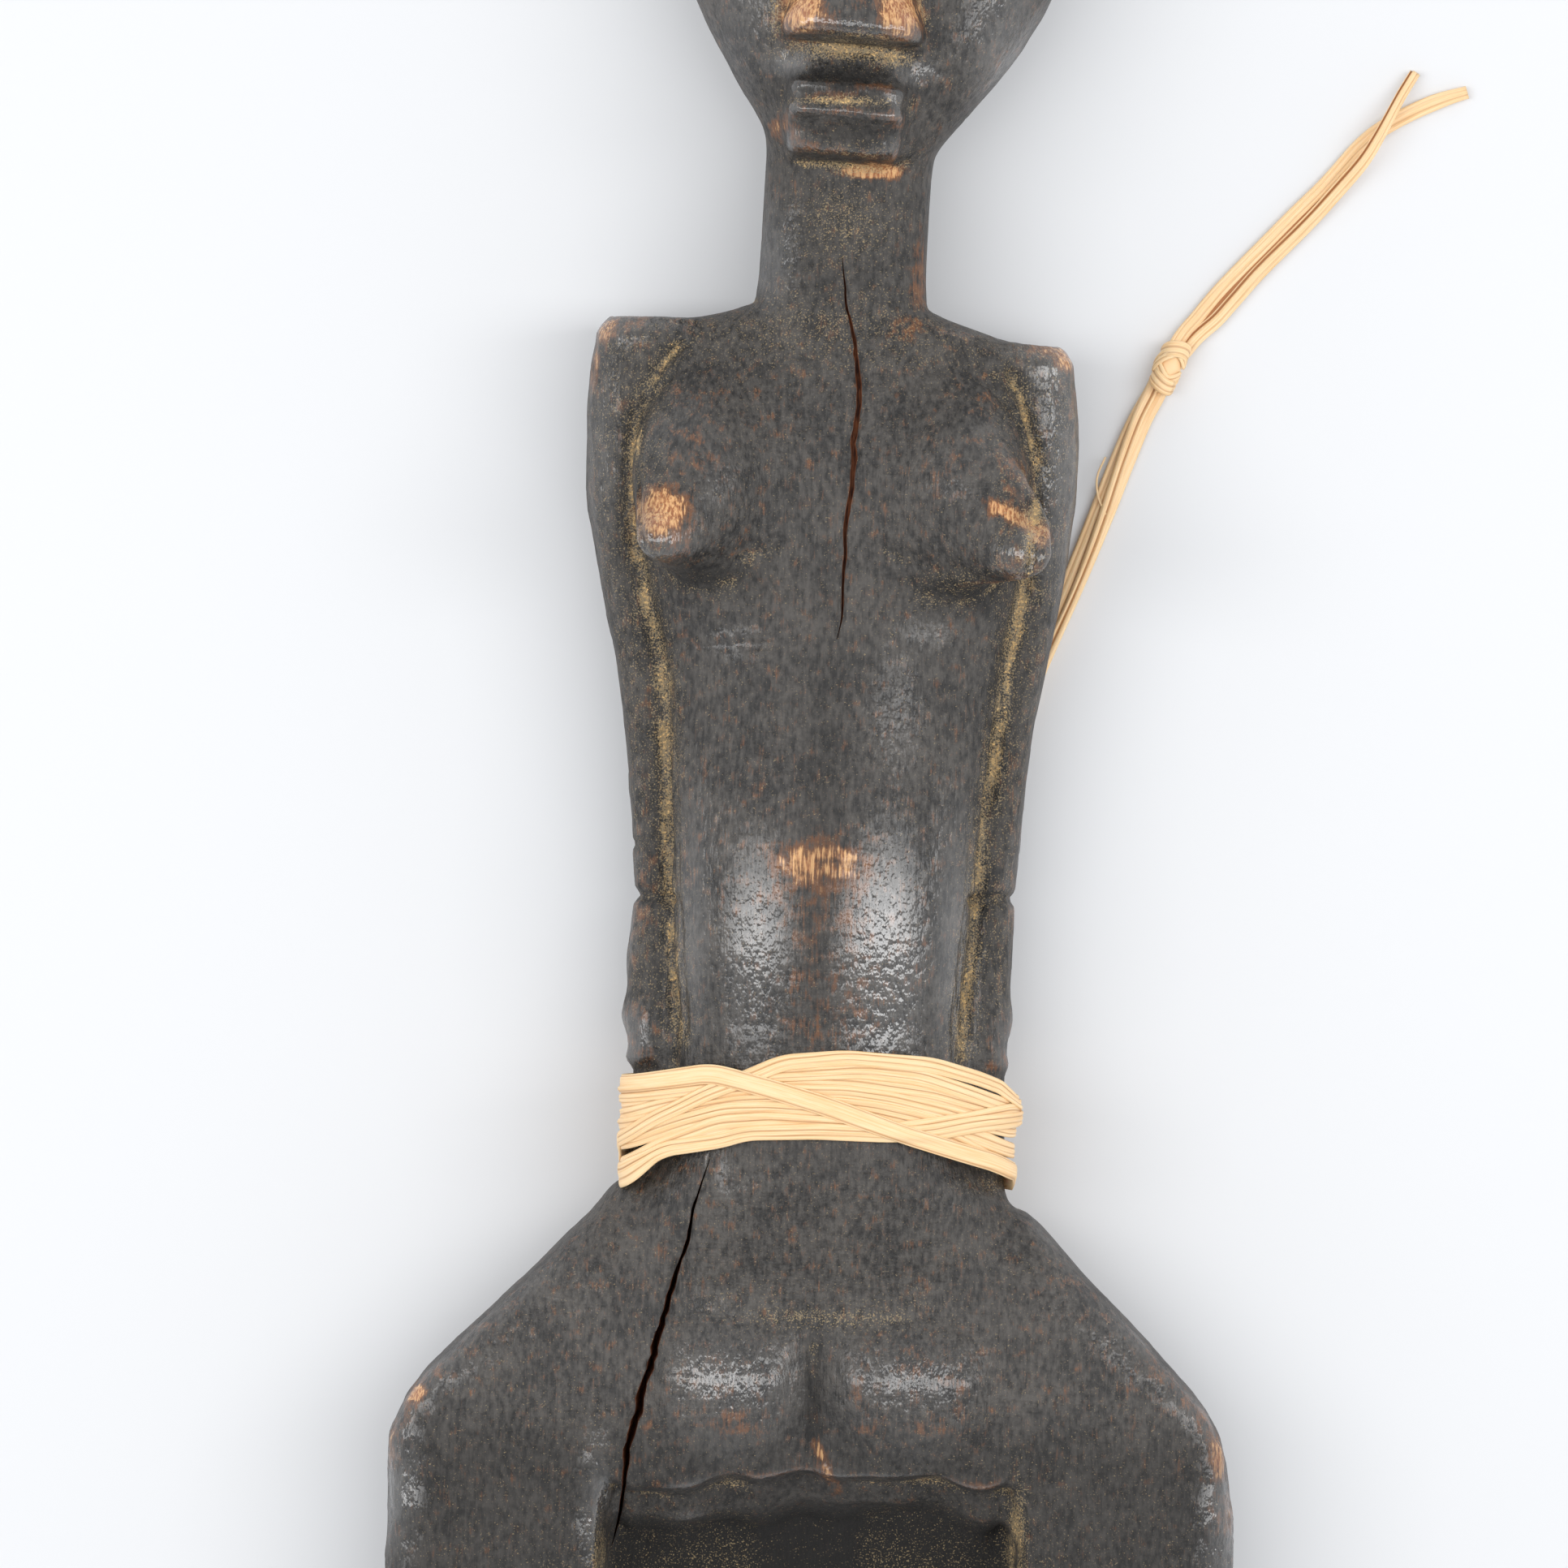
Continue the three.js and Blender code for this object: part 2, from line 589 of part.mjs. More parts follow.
const knotHigh = WAIST_BACK - 5 * CLEARANCE - 4 * STRIP_THICKNESS;
const backKnot = bodyAlongZ([
  [0.9, 1.2, -3, 2.4, 2.2, 2.2],
  [1.6, 1.2, -3, 4.2, 3.8, 2.2],
  [knotHigh / 2 + 0.4, 1.2, -3, 5, 4.4, 2.2],
  [knotHigh - 1, 1.2, -3, 4.4, 4, 2.2],
  [knotHigh, 1.2, -3, 3, 2.6, 2.2],
]);
addPiece("raffia_back_knot", geometryOf(backKnot), raffia(0xe9c48f));
addPiece("raffia_tail", strand(TAIL_ROUTE, TAIL_WIDTH), raffia(0xf0cf9c));

const tailKnot = bodyAlongY([
  [-3.6, -1.2, 1.2, 1, 3.2, 2.2],
  [-2.6, -1.9, 1.9, 0.5, 4, 2.2],
  [-0.4, -2.3, 2.3, 0.3, 4.6, 2.2],
  [2, -2.3, 2.3, 0.3, 4.5, 2.2],
  [3.4, -1.6, 1.6, 0.7, 3.6, 2.2],
], RING_POINTS / 2)
  .rotate([0, 0, -22])
  .translate([50.4, 109.2, 0]);
addPiece("raffia_tail_knot", geometryOf(tailKnot), raffia(0xf0cf9c));
addPiece("raffia_end_under", strand(UNDER_END_ROUTE, END_WIDTH), raffia(0xf3d3a2));
addPiece("raffia_end_over", strand(OVER_END_ROUTE, END_WIDTH), raffia(0xeec68f));

export default doll;
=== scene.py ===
"""A carved wooden fertility doll on its back, bound at the waist with raffia that ends in a knotted tail."""
import math
import random
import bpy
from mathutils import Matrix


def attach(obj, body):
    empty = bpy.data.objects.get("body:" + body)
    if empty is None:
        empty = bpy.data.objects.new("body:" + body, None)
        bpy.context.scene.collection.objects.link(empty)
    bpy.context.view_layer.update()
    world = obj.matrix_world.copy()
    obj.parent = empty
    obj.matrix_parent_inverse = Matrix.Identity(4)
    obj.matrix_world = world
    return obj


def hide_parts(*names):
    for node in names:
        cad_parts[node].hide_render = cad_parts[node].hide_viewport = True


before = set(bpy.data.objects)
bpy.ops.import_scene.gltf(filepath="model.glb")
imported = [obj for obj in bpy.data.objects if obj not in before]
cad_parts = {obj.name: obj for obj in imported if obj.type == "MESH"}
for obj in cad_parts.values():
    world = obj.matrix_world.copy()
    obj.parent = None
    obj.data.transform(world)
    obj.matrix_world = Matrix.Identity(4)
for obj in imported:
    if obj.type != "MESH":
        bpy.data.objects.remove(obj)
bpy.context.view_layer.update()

from types import SimpleNamespace

import bmesh
import bpy
import numpy as np
from bpy.props import FloatProperty, FloatVectorProperty, IntProperty, PointerProperty
from mathutils import Matrix, Vector, noise

bl_info = {
    "name": "Carved fertility doll",
    "version": (1, 0, 0),
    "blender": (4, 5, 0),
    "location": "3D View > Sidebar > Doll",
    "description": "Builds a carved wooden doll with a raffia binding around the packed frame",
    "category": "Add Mesh",
}

MM = 0.001

# The waist's middle in the frame, and its outline across the figure. Sizes in this file are millimetres, and
# places along the figure (y) are measured from the waist's middle, towards the head.
WAIST_Y = -27.0
WAIST_HALF_WIDTH = 28.2
WAIST_HALF_DEPTH = 10.8
WAIST_MID_Z = 19.4
WAIST_SQUARENESS = 2.5
BACK_KNOT = (1.2, -3.0)


def linear(hex_colour):
    """An sRGB hex colour as the linear values that shaders take."""
    values = [int(hex_colour[i:i + 2], 16) / 255 for i in (1, 3, 5)]
    return [v / 12.92 if v <= 0.04045 else ((v + 0.055) / 1.055) ** 2.4 for v in values]


def in_frame(point):
    """A point (x, y, z) of the figure in the frame's metres."""
    return Vector((point[0] * MM, (point[1] + WAIST_Y) * MM, point[2] * MM))


def ease(values, low, high):
    """0 below low, 1 above high and a smooth step between them. low may be the higher one."""
    t = np.clip((np.asarray(values, float) - low) / (high - low), 0, 1)
    return t * t * (3 - 2 * t)


# ---------------------------------------------------------------- settings

class DollWoodSettings(bpy.types.PropertyGroup):
    """How the block of wood is cut and coloured."""
    voxel: FloatProperty(
        name="Surface step", description="Size of the carving's quads before they are thinned",
        default=0.66 * MM, min=0.4 * MM, max=3 * MM, subtype="DISTANCE", unit="LENGTH")
    triangles: IntProperty(
        name="Triangles", description="Most triangles the finished carving may have",
        default=186000, min=20000, max=199000)
    scallop: FloatProperty(
        name="Blade marks", description="Depth of the deepest blade scallops",
        default=0.55 * MM, min=0, max=2 * MM, subtype="DISTANCE", unit="LENGTH")
    stain: FloatVectorProperty(
        name="Stain", description="Dark stain on the wood", default=linear("#191716"),
        subtype="COLOR", min=0, max=1)
    faded: FloatVectorProperty(
        name="Faded stain", description="Stain where it is thinner", default=linear("#494541"),
        subtype="COLOR", min=0, max=1)
    rubbed: FloatVectorProperty(
        name="Rubbed wood", description="Wood that shows through the rubbed stain", default=linear("#6b4428"),
        subtype="COLOR", min=0, max=1)
    bare: FloatVectorProperty(
        name="Bare wood", description="Wood where the stain is worn away", default=linear("#d9a873"),
        subtype="COLOR", min=0, max=1)
    dust: FloatVectorProperty(
        name="Dust", description="Ochre dust that lies in the hollows", default=linear("#94683a"),
        subtype="COLOR", min=0, max=1)


class DollRaffiaSettings(bpy.types.PropertyGroup):
    """The raffia strips."""
    thickness: FloatProperty(
        name="Thickness", description="Thickness of a folded strip",
        default=0.5 * MM, min=0.1 * MM, max=1 * MM, subtype="DISTANCE", unit="LENGTH")
    leaf: FloatVectorProperty(
        name="Leaf", description="Colour of the dry leaf", default=linear("#f3d4a8"),
        subtype="COLOR", min=0, max=1)
    vein: FloatVectorProperty(
        name="Veins", description="Colour of the leaf's darker fibres", default=linear("#e3b57c"),
        subtype="COLOR", min=0, max=1)
    # The colour of the painted shade inside the folds.
    fold_shade: FloatVectorProperty(
        name="Creases", description="Colour inside the folds", default=linear("#a4693a"),
        subtype="COLOR", min=0, max=1)


class DollStageSettings(bpy.types.PropertyGroup):
    """The camera, the floor and the lights."""
    camera_height: FloatProperty(
        name="Camera height", description="Height of the camera over the figure's front",
        default=1.0, min=0.3, max=5, subtype="DISTANCE", unit="LENGTH")
    view_width: FloatProperty(
        name="View width", description="Width of what the camera sees at the figure's middle height",
        default=231.8 * MM, min=0.05, max=1, subtype="DISTANCE", unit="LENGTH")
    softbox_power: FloatProperty(
        name="Softboxes", description="Power of each of the two softboxes", default=4.1, min=0, unit="POWER")
    floor_glow: FloatProperty(
        name="Floor glow", description="Light that comes through the floor from below",
        default=0.05, min=0, max=2)
    horizon: FloatProperty(
        name="Walls", description="Strength of the light from the white walls all round",
        default=1.5, min=0, max=5)
    zenith: FloatProperty(
        name="Ceiling", description="Strength of the light from straight above",
        default=0.4, min=0, max=5)


# ---------------------------------------------------------------- mesh helpers

def finish_mesh(bm, name):
    """bm as an object of that name in the scene, smooth and with its faces pointing out."""
    bmesh.ops.recalc_face_normals(bm, faces=bm.faces)
    mesh = bpy.data.meshes.new(name)
    bm.to_mesh(mesh)
    bm.free()
    mesh.shade_smooth()
    piece = bpy.data.objects.new(name, mesh)
    bpy.context.scene.collection.objects.link(piece)
    return piece


def with_modifiers(piece):
    """A new mesh of the piece with its modifiers carried out."""
    graph = bpy.context.evaluated_depsgraph_get()
    return bpy.data.meshes.new_from_object(piece.evaluated_get(graph), depsgraph=graph)


def apply_modifiers(piece):
    """Carries out the piece's modifiers for good."""
    mesh = with_modifiers(piece)
    piece.modifiers.clear()
    old = piece.data
    piece.data = mesh
    bpy.data.meshes.remove(old)


def own(piece, material, slot, *nodes):
    """The piece gets its material, rides on the one body, and stands for those CAD nodes."""
    piece.data.materials.clear()
    piece.data.materials.append(material)
    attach(piece, "root")
    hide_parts(*nodes)
    return piece


# Steps between two points of a smooth curve, before its points are spaced evenly.
CURVE_STEPS = 12


def smooth_line(points, step):
    """Points along a smooth curve through the given points, about `step` apart."""
    knots = [Vector(p) for p in points]
    knots = [2 * knots[0] - knots[1], *knots, 2 * knots[-1] - knots[-2]]
    fine = []
    for a, b, c, d in zip(knots, knots[1:], knots[2:], knots[3:]):
        for i in range(CURVE_STEPS):
            t = i / CURVE_STEPS
            fine.append(0.5 * (2 * b + (c - a) * t + (2 * a - 5 * b + 4 * c - d) * t * t
                               + (3 * b - a - 3 * c + d) * t ** 3))
    fine.append(knots[-2])
    far = np.concatenate([[0], np.cumsum([(q - p).length for p, q in zip(fine, fine[1:])])])
    count = max(2, round(far[-1] / step) + 1)
    wanted = np.linspace(0, far[-1], count)
    columns = np.array([p[:] for p in fine]).T
    return [Vector(p) for p in np.array([np.interp(wanted, far, c) for c in columns]).T]


# The points of a strip's cross section: (across, up), as shares of its half width and its thickness.
TOP_POINTS = 21
UNDER_POINTS = 5
SECTION = [(-0.98 + 1.96 * i / (TOP_POINTS - 1), 1) for i in range(TOP_POINTS)]
SECTION += [(0.86 - 1.72 * i / (UNDER_POINTS - 1), 0) for i in range(UNDER_POINTS)]


def strip_profile(across, upper, creases):
    """(height as a share of the thickness, how deep in a fold) at a place across a folded strip."""
    if not upper:
        return 0.0, 0.0
    rounded = 0.4 + 0.6 * (1 - across ** 6)
    fold = 0.0
    for place, depth, reach in creases:
        fold = max(fold, depth * math.exp(-((across - place) / reach) ** 2))
    return rounded - fold, min(1.0, fold * 1.6)


def sweep(bm, stations, strand):
    """Adds one closed strip, in millimetres of the frame. A station is (middle, sideways, up, half width,
    thickness, creases, lifts). lifts raises each point of the section, or is None. The strip stores how far
    across and along it each point lies, how deep it is in a fold, and which strand it belongs to."""
    layers = {}
    for name in ("across", "along", "fold", "strand"):
        layers[name] = bm.verts.layers.float.get(name) or bm.verts.layers.float.new(name)
    ring = bmesh.ops.create_circle(bm, segments=len(SECTION), radius=1)["verts"]
    first_edges = edges = list(dict.fromkeys(e for v in ring for e in v.link_edges))
    along = 0.0
    before = stations[0][0]
    for number, (middle, sideways, up, half, thick, creases, lifts) in enumerate(stations):
        if number:
            made = bmesh.ops.extrude_edge_only(bm, edges=edges)["geom"]
            fresh = {v for v in made if isinstance(v, bmesh.types.BMVert)}
            edges = [e for e in made if isinstance(e, bmesh.types.BMEdge) and set(e.verts) <= fresh]
            ring = [next(e.other_vert(v) for e in v.link_edges if e.other_vert(v) in fresh) for v in ring]
        along += (middle - before).length
        before = middle
        for i, (vertex, (across, upper)) in enumerate(zip(ring, SECTION)):
            height, fold = strip_profile(across, upper, creases)
            lift = lifts[i] if lifts is not None else 0.0
            spot = middle + sideways * (across * half) + up * (height * thick + lift)
            vertex.co = spot * MM
            vertex[layers["across"]] = across
            vertex[layers["along"]] = along
            vertex[layers["fold"]] = fold
            vertex[layers["strand"]] = strand
    bmesh.ops.edgeloop_fill(bm, edges=first_edges)
    bmesh.ops.edgeloop_fill(bm, edges=edges)


# ---------------------------------------------------------------- materials

def node_adder(tree):
    """A function that adds a node to the tree and returns one of the node's outputs."""
    def add(kind, settings=None, feeds=None, out=0):
        """settings are the node's properties. feeds fill its inputs, each with a value or an output."""
        made = tree.nodes.new("ShaderNode" + kind)
        for key, value in (settings or {}).items():
            setattr(made, key, value)
        for key, value in (feeds or {}).items():
            if isinstance(value, bpy.types.NodeSocket):
                tree.links.new(value, made.inputs[key])
            else:
                made.inputs[key].default_value = value
        return made.outputs[out] if len(made.outputs) else made

    return add


def start_material(name):
    """An empty material, and the function that adds nodes to it."""
    material = bpy.data.materials.new(name)
    material.use_nodes = True
    material.node_tree.nodes.clear()
    return material, node_adder(material.node_tree)


def per_metre(*sizes):
    """Pattern scale for Object coordinates, from feature sizes in millimetres."""
    scale = [1 / (size * MM) for size in sizes]
    return scale[0] if len(scale) == 1 else scale


RGB = {"data_type": "RGBA"}


def stained_wood(look):
    """Close-grained hardwood, cut with a knife and an adze and blackened with stain and smoke. Handling has
    polished it, so it is a dark charcoal with a cool gloss on the high places, thin brown streaks along the
    grain where the stain is rubbed, bare tan wood on worn corners, and ochre dust in the hollows. Painted
    shade darkens the deepest hollows and the places under the breasts, nose, lips and chin."""
    material, add = start_material("blackened_hardwood")
    place = add("TexCoord", out="Object")
    worn = add("Attribute", {"attribute_name": "worn"}, out="Fac")
    dust = add("Attribute", {"attribute_name": "dust"}, out="Fac")
    shine = add("Attribute", {"attribute_name": "shine"}, out="Fac")
    soot = add("Attribute", {"attribute_name": "soot"}, out="Fac")
    # Fibres are about 0.3 mm wide and 5 mm long and run along the figure.
    along_grain = add("Mapping", {}, {"Vector": place, "Scale": per_metre(0.34, 4.5, 0.34)})
    fibre = add("TexNoise", {}, {"Vector": along_grain, "Scale": 1.0, "Detail": 3.0, "Roughness": 0.62})
    # Vessels, the short dark pores of the wood, are about 0.2 mm wide and 1.5 mm long.
    along_pores = add("Mapping", {}, {"Vector": place, "Scale": per_metre(0.28, 1.6, 0.28)})
    pores = add("TexNoise", {}, {"Vector": along_pores, "Scale": 1.0, "Detail": 2.0})
    patches = add("TexNoise", {}, {"Vector": place, "Scale": per_metre(9), "Detail": 5.0, "Roughness": 0.6})
    blotches = add("TexNoise", {}, {"Vector": place, "Scale": per_metre(1.7), "Detail": 3.0})
    # Grit is about 0.4 mm across.
    grit = add("TexNoise", {}, {"Vector": place, "Scale": per_metre(0.42), "Detail": 2.0, "Roughness": 0.7})
    # The surface is dimpled where the fibres swelled: dimples about 0.8 mm across and 1.7 mm long.
    along_dimples = add("Mapping", {}, {"Vector": place, "Scale": per_metre(0.85, 1.7, 0.85)})
    dimples = add("TexNoise", {}, {"Vector": along_dimples, "Scale": 1.0, "Detail": 2.0, "Roughness": 0.55})
    # Chatter of the blade: ripples 0.8 mm apart across the grain.
    across_grain = add("Mapping", {}, {"Vector": place, "Scale": per_metre(3.4, 0.8, 3.4)})
    chatter = add("TexNoise", {}, {"Vector": across_grain, "Scale": 1.0, "Detail": 1.5})

    mottle = add("Math", {"operation": "MULTIPLY_ADD"}, {0: dimples, 1: 1.3, 2: patches})
    mottle = add("Math", {"operation": "MULTIPLY_ADD"}, {0: fibre, 1: 0.6, 2: mottle})
    tone = add("MapRange", {}, {0: mottle, 1: 1.2, 2: 1.7})
    stain = add("Mix", RGB, {0: tone, 6: (*look.stain, 1), 7: (*look.faded, 1)}, out=2)
    streak = add("Math", {"operation": "MULTIPLY_ADD"}, {0: fibre, 1: 0.9, 2: blotches})
    rub = add("Math", {"operation": "MULTIPLY_ADD"}, {0: worn, 1: 0.75, 2: streak})
    rub = add("MapRange", {"interpolation_type": "SMOOTHSTEP"}, {0: rub, 1: 1.03, 2: 1.4})
    colour = add("Mix", RGB, {0: rub, 6: stain, 7: (*look.rubbed, 1)}, out=2)
    # The bare patches have ragged outlines and dark streaks.
    ragged = add("Math", {"operation": "MULTIPLY_ADD"}, {0: blotches, 1: 0.7, 2: worn})
    baring = add("Math", {"operation": "MULTIPLY_ADD"}, {0: fibre, 1: 0.85, 2: ragged})
    baring = add("MapRange", {"interpolation_type": "SMOOTHSTEP"}, {0: baring, 1: 1.3, 2: 1.52})
    bare_tone = add("MapRange", {}, {0: fibre, 1: 0.42, 2: 0.6})
    bare = add("Mix", RGB, {0: bare_tone, 6: (*linear("#94592f"), 1), 7: (*look.bare, 1)}, out=2)
    colour = add("Mix", RGB, {0: baring, 6: colour, 7: bare}, out=2)
    # Painted shade: the colour is darkened towards near black in the deep hollows, the recess between the
    # thighs and under the breasts, nose, lips and chin, and more faintly on the thighs and beside the arm
    # grooves.
    colour = add("Mix", RGB, {0: soot, 6: colour, 7: (*linear("#100e0d"), 1)}, out=2)
    # Ochre dust clings in crumbs.
    crumbs = add("Math", {"operation": "MULTIPLY_ADD"}, {0: grit, 1: 1.9, 2: dust})
    crumbs = add("MapRange", {"interpolation_type": "SMOOTHSTEP"}, {0: crumbs, 1: 1.5, 2: 1.9})
    crumb_tone = add("MapRange", {}, {0: grit, 1: 0.45, 2: 0.68})
    ochre = add("Mix", RGB, {0: crumb_tone, 6: (*look.dust, 1), 7: (*linear("#e6be80"), 1)}, out=2)
    colour = add("Mix", RGB, {0: crumbs, 6: colour, 7: ochre}, out=2)
    # Single pale grains of dust lie everywhere.
    grains = add("TexNoise", {}, {"Vector": place, "Scale": per_metre(0.25), "Detail": 1.0})
    grains = add("Math", {"operation": "MULTIPLY_ADD"}, {0: blotches, 1: 0.2, 2: grains})
    grains = add("Math", {"operation": "MULTIPLY_ADD"}, {0: dust, 1: 0.55, 2: grains})
    grains = add("MapRange", {}, {0: grains, 1: 0.8, 2: 0.94, 4: 0.6})
    colour = add("Mix", RGB, {0: grains, 6: colour, 7: (*linear("#a08c68"), 1)}, out=2)

    polish = add("MapRange", {}, {0: shine, 3: 0.46, 4: 0.3})
    matt = add("Math", {"operation": "MULTIPLY_ADD"}, {0: crumbs, 1: 0.35, 2: polish})
    matt = add("Math", {"operation": "MULTIPLY_ADD"}, {0: soot, 1: 0.35, 2: matt})
    matt = add("Math", {"operation": "MULTIPLY_ADD", "use_clamp": True}, {0: pores, 1: 0.14, 2: matt})

    chattering = add("Math", {"operation": "MULTIPLY"}, {0: chatter, 1: patches})
    relief = add("Math", {"operation": "MULTIPLY_ADD"}, {0: grit, 1: 0.4, 2: dimples})
    relief = add("Math", {"operation": "MULTIPLY_ADD"}, {0: fibre, 1: 0.45, 2: relief})
    relief = add("Math", {"operation": "MULTIPLY_ADD"}, {0: pores, 1: 0.3, 2: relief})
    relief = add("Math", {"operation": "MULTIPLY_ADD"}, {0: chattering, 1: 0.9, 2: relief})
    bump = add("Bump", {}, {"Height": relief, "Distance": 0.26 * MM, "Strength": 1.0})
    # Hands have left a hard polish on the high places. The pores and the dust break it up.
    hard_relief = add("Math", {"operation": "MULTIPLY_ADD"}, {0: chattering, 1: 0.3, 2: dimples})
    polish_bump = add("Bump", {}, {"Height": hard_relief, "Distance": 0.22 * MM, "Strength": 1.0})
    broken = add("Math", {"operation": "MULTIPLY_ADD"}, {0: blotches, 1: 0.3, 2: shine})
    broken = add("Math", {"operation": "MULTIPLY_ADD"}, {0: pores, 1: -0.4, 2: broken})
    broken = add("Math", {"operation": "MULTIPLY_ADD"}, {0: crumbs, 1: -0.8, 2: broken})
    gloss = add("MapRange", {}, {0: broken, 1: 0.1, 2: 0.85})
    surface = add("BsdfPrincipled", {}, {
        "Base Color": colour, "Roughness": matt, "Normal": bump, "IOR": 1.5, "Specular IOR Level": 0.5,
        "Coat Weight": gloss, "Coat Roughness": 0.13, "Coat IOR": 1.9, "Coat Normal": polish_bump})
    add("OutputMaterial", {}, {"Surface": surface})
    return material


def split_wood():
    """The inside of a drying crack: raw wood that tore along its fibres and has darkened to a reddish
    brown."""
    material, add = start_material("torn_heartwood")
    place = add("TexCoord", out="Object")
    along_grain = add("Mapping", {}, {"Vector": place, "Scale": per_metre(0.4, 3.0, 0.4)})
    fibre = add("TexNoise", {}, {"Vector": along_grain, "Scale": 1.0, "Detail": 3.0})
    tone = add("MapRange", {}, {0: fibre, 1: 0.35, 2: 0.65})
    colour = add("Mix", RGB, {0: tone, 6: (*linear("#3b1d12"), 1), 7: (*linear("#8a5433"), 1)}, out=2)
    bump = add("Bump", {}, {"Height": fibre, "Distance": 0.15 * MM, "Strength": 0.8})
    surface = add("BsdfPrincipled", {}, {"Base Color": colour, "Roughness": 0.8, "Normal": bump})
    add("OutputMaterial", {}, {"Surface": surface})
    return material


def raffia(name, look, warmth):
    """Raffia: a strip peeled from a palm leaf, dried and folded lengthwise. It is a pale straw colour with
    fine darker fibres along it and a silky gloss, and painted orange shade darkens its folds. warmth ages it."""
    material, add = start_material(name)
    across = add("Attribute", {"attribute_name": "across"}, out="Fac")
    along = add("Attribute", {"attribute_name": "along"}, out="Fac")
    fold = add("Attribute", {"attribute_name": "fold"}, out="Fac")
    strand = add("Attribute", {"attribute_name": "strand"}, out="Fac")
    # A fibre is about 0.15 mm wide, a sixteenth of a strip, and 12 mm long. `along` counts millimetres.
    lane = add("Math", {"operation": "MULTIPLY"}, {0: across, 1: 8.0})
    stretch = add("Math", {"operation": "DIVIDE"}, {0: along, 1: 12.0})
    place = add("CombineXYZ", {}, {0: lane, 1: stretch, 2: strand})
    fibre = add("TexNoise", {}, {"Vector": place, "Scale": 1.0, "Detail": 3.0, "Roughness": 0.6})
    cloud_place = add("CombineXYZ", {}, {0: across, 1: stretch, 2: strand})
    cloud = add("TexNoise", {}, {"Vector": cloud_place, "Scale": 2.2, "Detail": 3.0})
    veins = add("MapRange", {}, {0: fibre, 1: 0.42, 2: 0.68, 4: 0.75})
    colour = add("Mix", RGB, {0: veins, 6: (*look.leaf, 1), 7: (*look.vein, 1)}, out=2)
    aged = add("MapRange", {}, {0: cloud, 1: 0.5, 2: 0.75, 4: 0.4 + warmth})
    colour = add("Mix", RGB, {0: aged, 6: colour, 7: (*look.vein, 1)}, out=2)
    # Painted shade: the deeper a point lies in a fold, the more its colour goes to the dark orange fold
    # colour.
    creased = add("MapRange", {}, {0: fold, 1: 0.1, 2: 0.75})
    colour = add("Mix", RGB, {0: creased, 6: colour, 7: (*look.fold_shade, 1)}, out=2)
    silk = add("MapRange", {}, {0: fibre, 3: 0.42, 4: 0.6})
    bump = add("Bump", {}, {"Height": fibre, "Distance": 0.07 * MM, "Strength": 0.7})
    surface = add("BsdfPrincipled", {}, {
        "Base Color": colour, "Roughness": silk, "Normal": bump, "IOR": 1.45,
        "Subsurface Weight": 0.12, "Subsurface Radius": (1.0, 0.6, 0.3), "Subsurface Scale": 0.5 * MM})
    add("OutputMaterial", {}, {"Surface": surface})
    return material


def plain(name, colour, roughness, glow):
    """One even colour for the stage, lit a little from behind."""
    material, add = start_material(name)
    surface = add("BsdfPrincipled", {}, {
        "Base Color": (*linear(colour), 1), "Roughness": roughness,
        "Emission Color": (*linear(colour), 1), "Emission Strength": glow})
    add("OutputMaterial", {}, {"Surface": surface})
    return material


def material_of(name, make, *values):
    """The material of that name, made the first time that it is needed."""
    return bpy.data.materials.get(name) or make(*values)


def strip_material():
    return material_of("dried_palm_leaf", raffia, "dried_palm_leaf", bpy.context.scene.doll_raffia, 0.0)


def knot_material():
    return material_of("knotted_palm_leaf", raffia, "knotted_palm_leaf", bpy.context.scene.doll_raffia, 0.2)


# ---------------------------------------------------------------- stage

# Where the camera stands over the frame, in millimetres, and how far it is rolled, in degrees.
CAMERA_X = -6.0
CAMERA_Y = 18.5
CAMERA_ROLL = 1.12
FIGURE_MID_Z = 15
# The floor lies just under the figure. The rest of the stage is in metres.
FLOOR_Z = -0.2
FLOOR_REACH = 3
SOFTBOX_SIZE = (0.3, 0.9)
SOFTBOX_PLACE = (0.46, 0.06, 0.86)
SOFTBOX_AIM = (0, 0.02, 0)


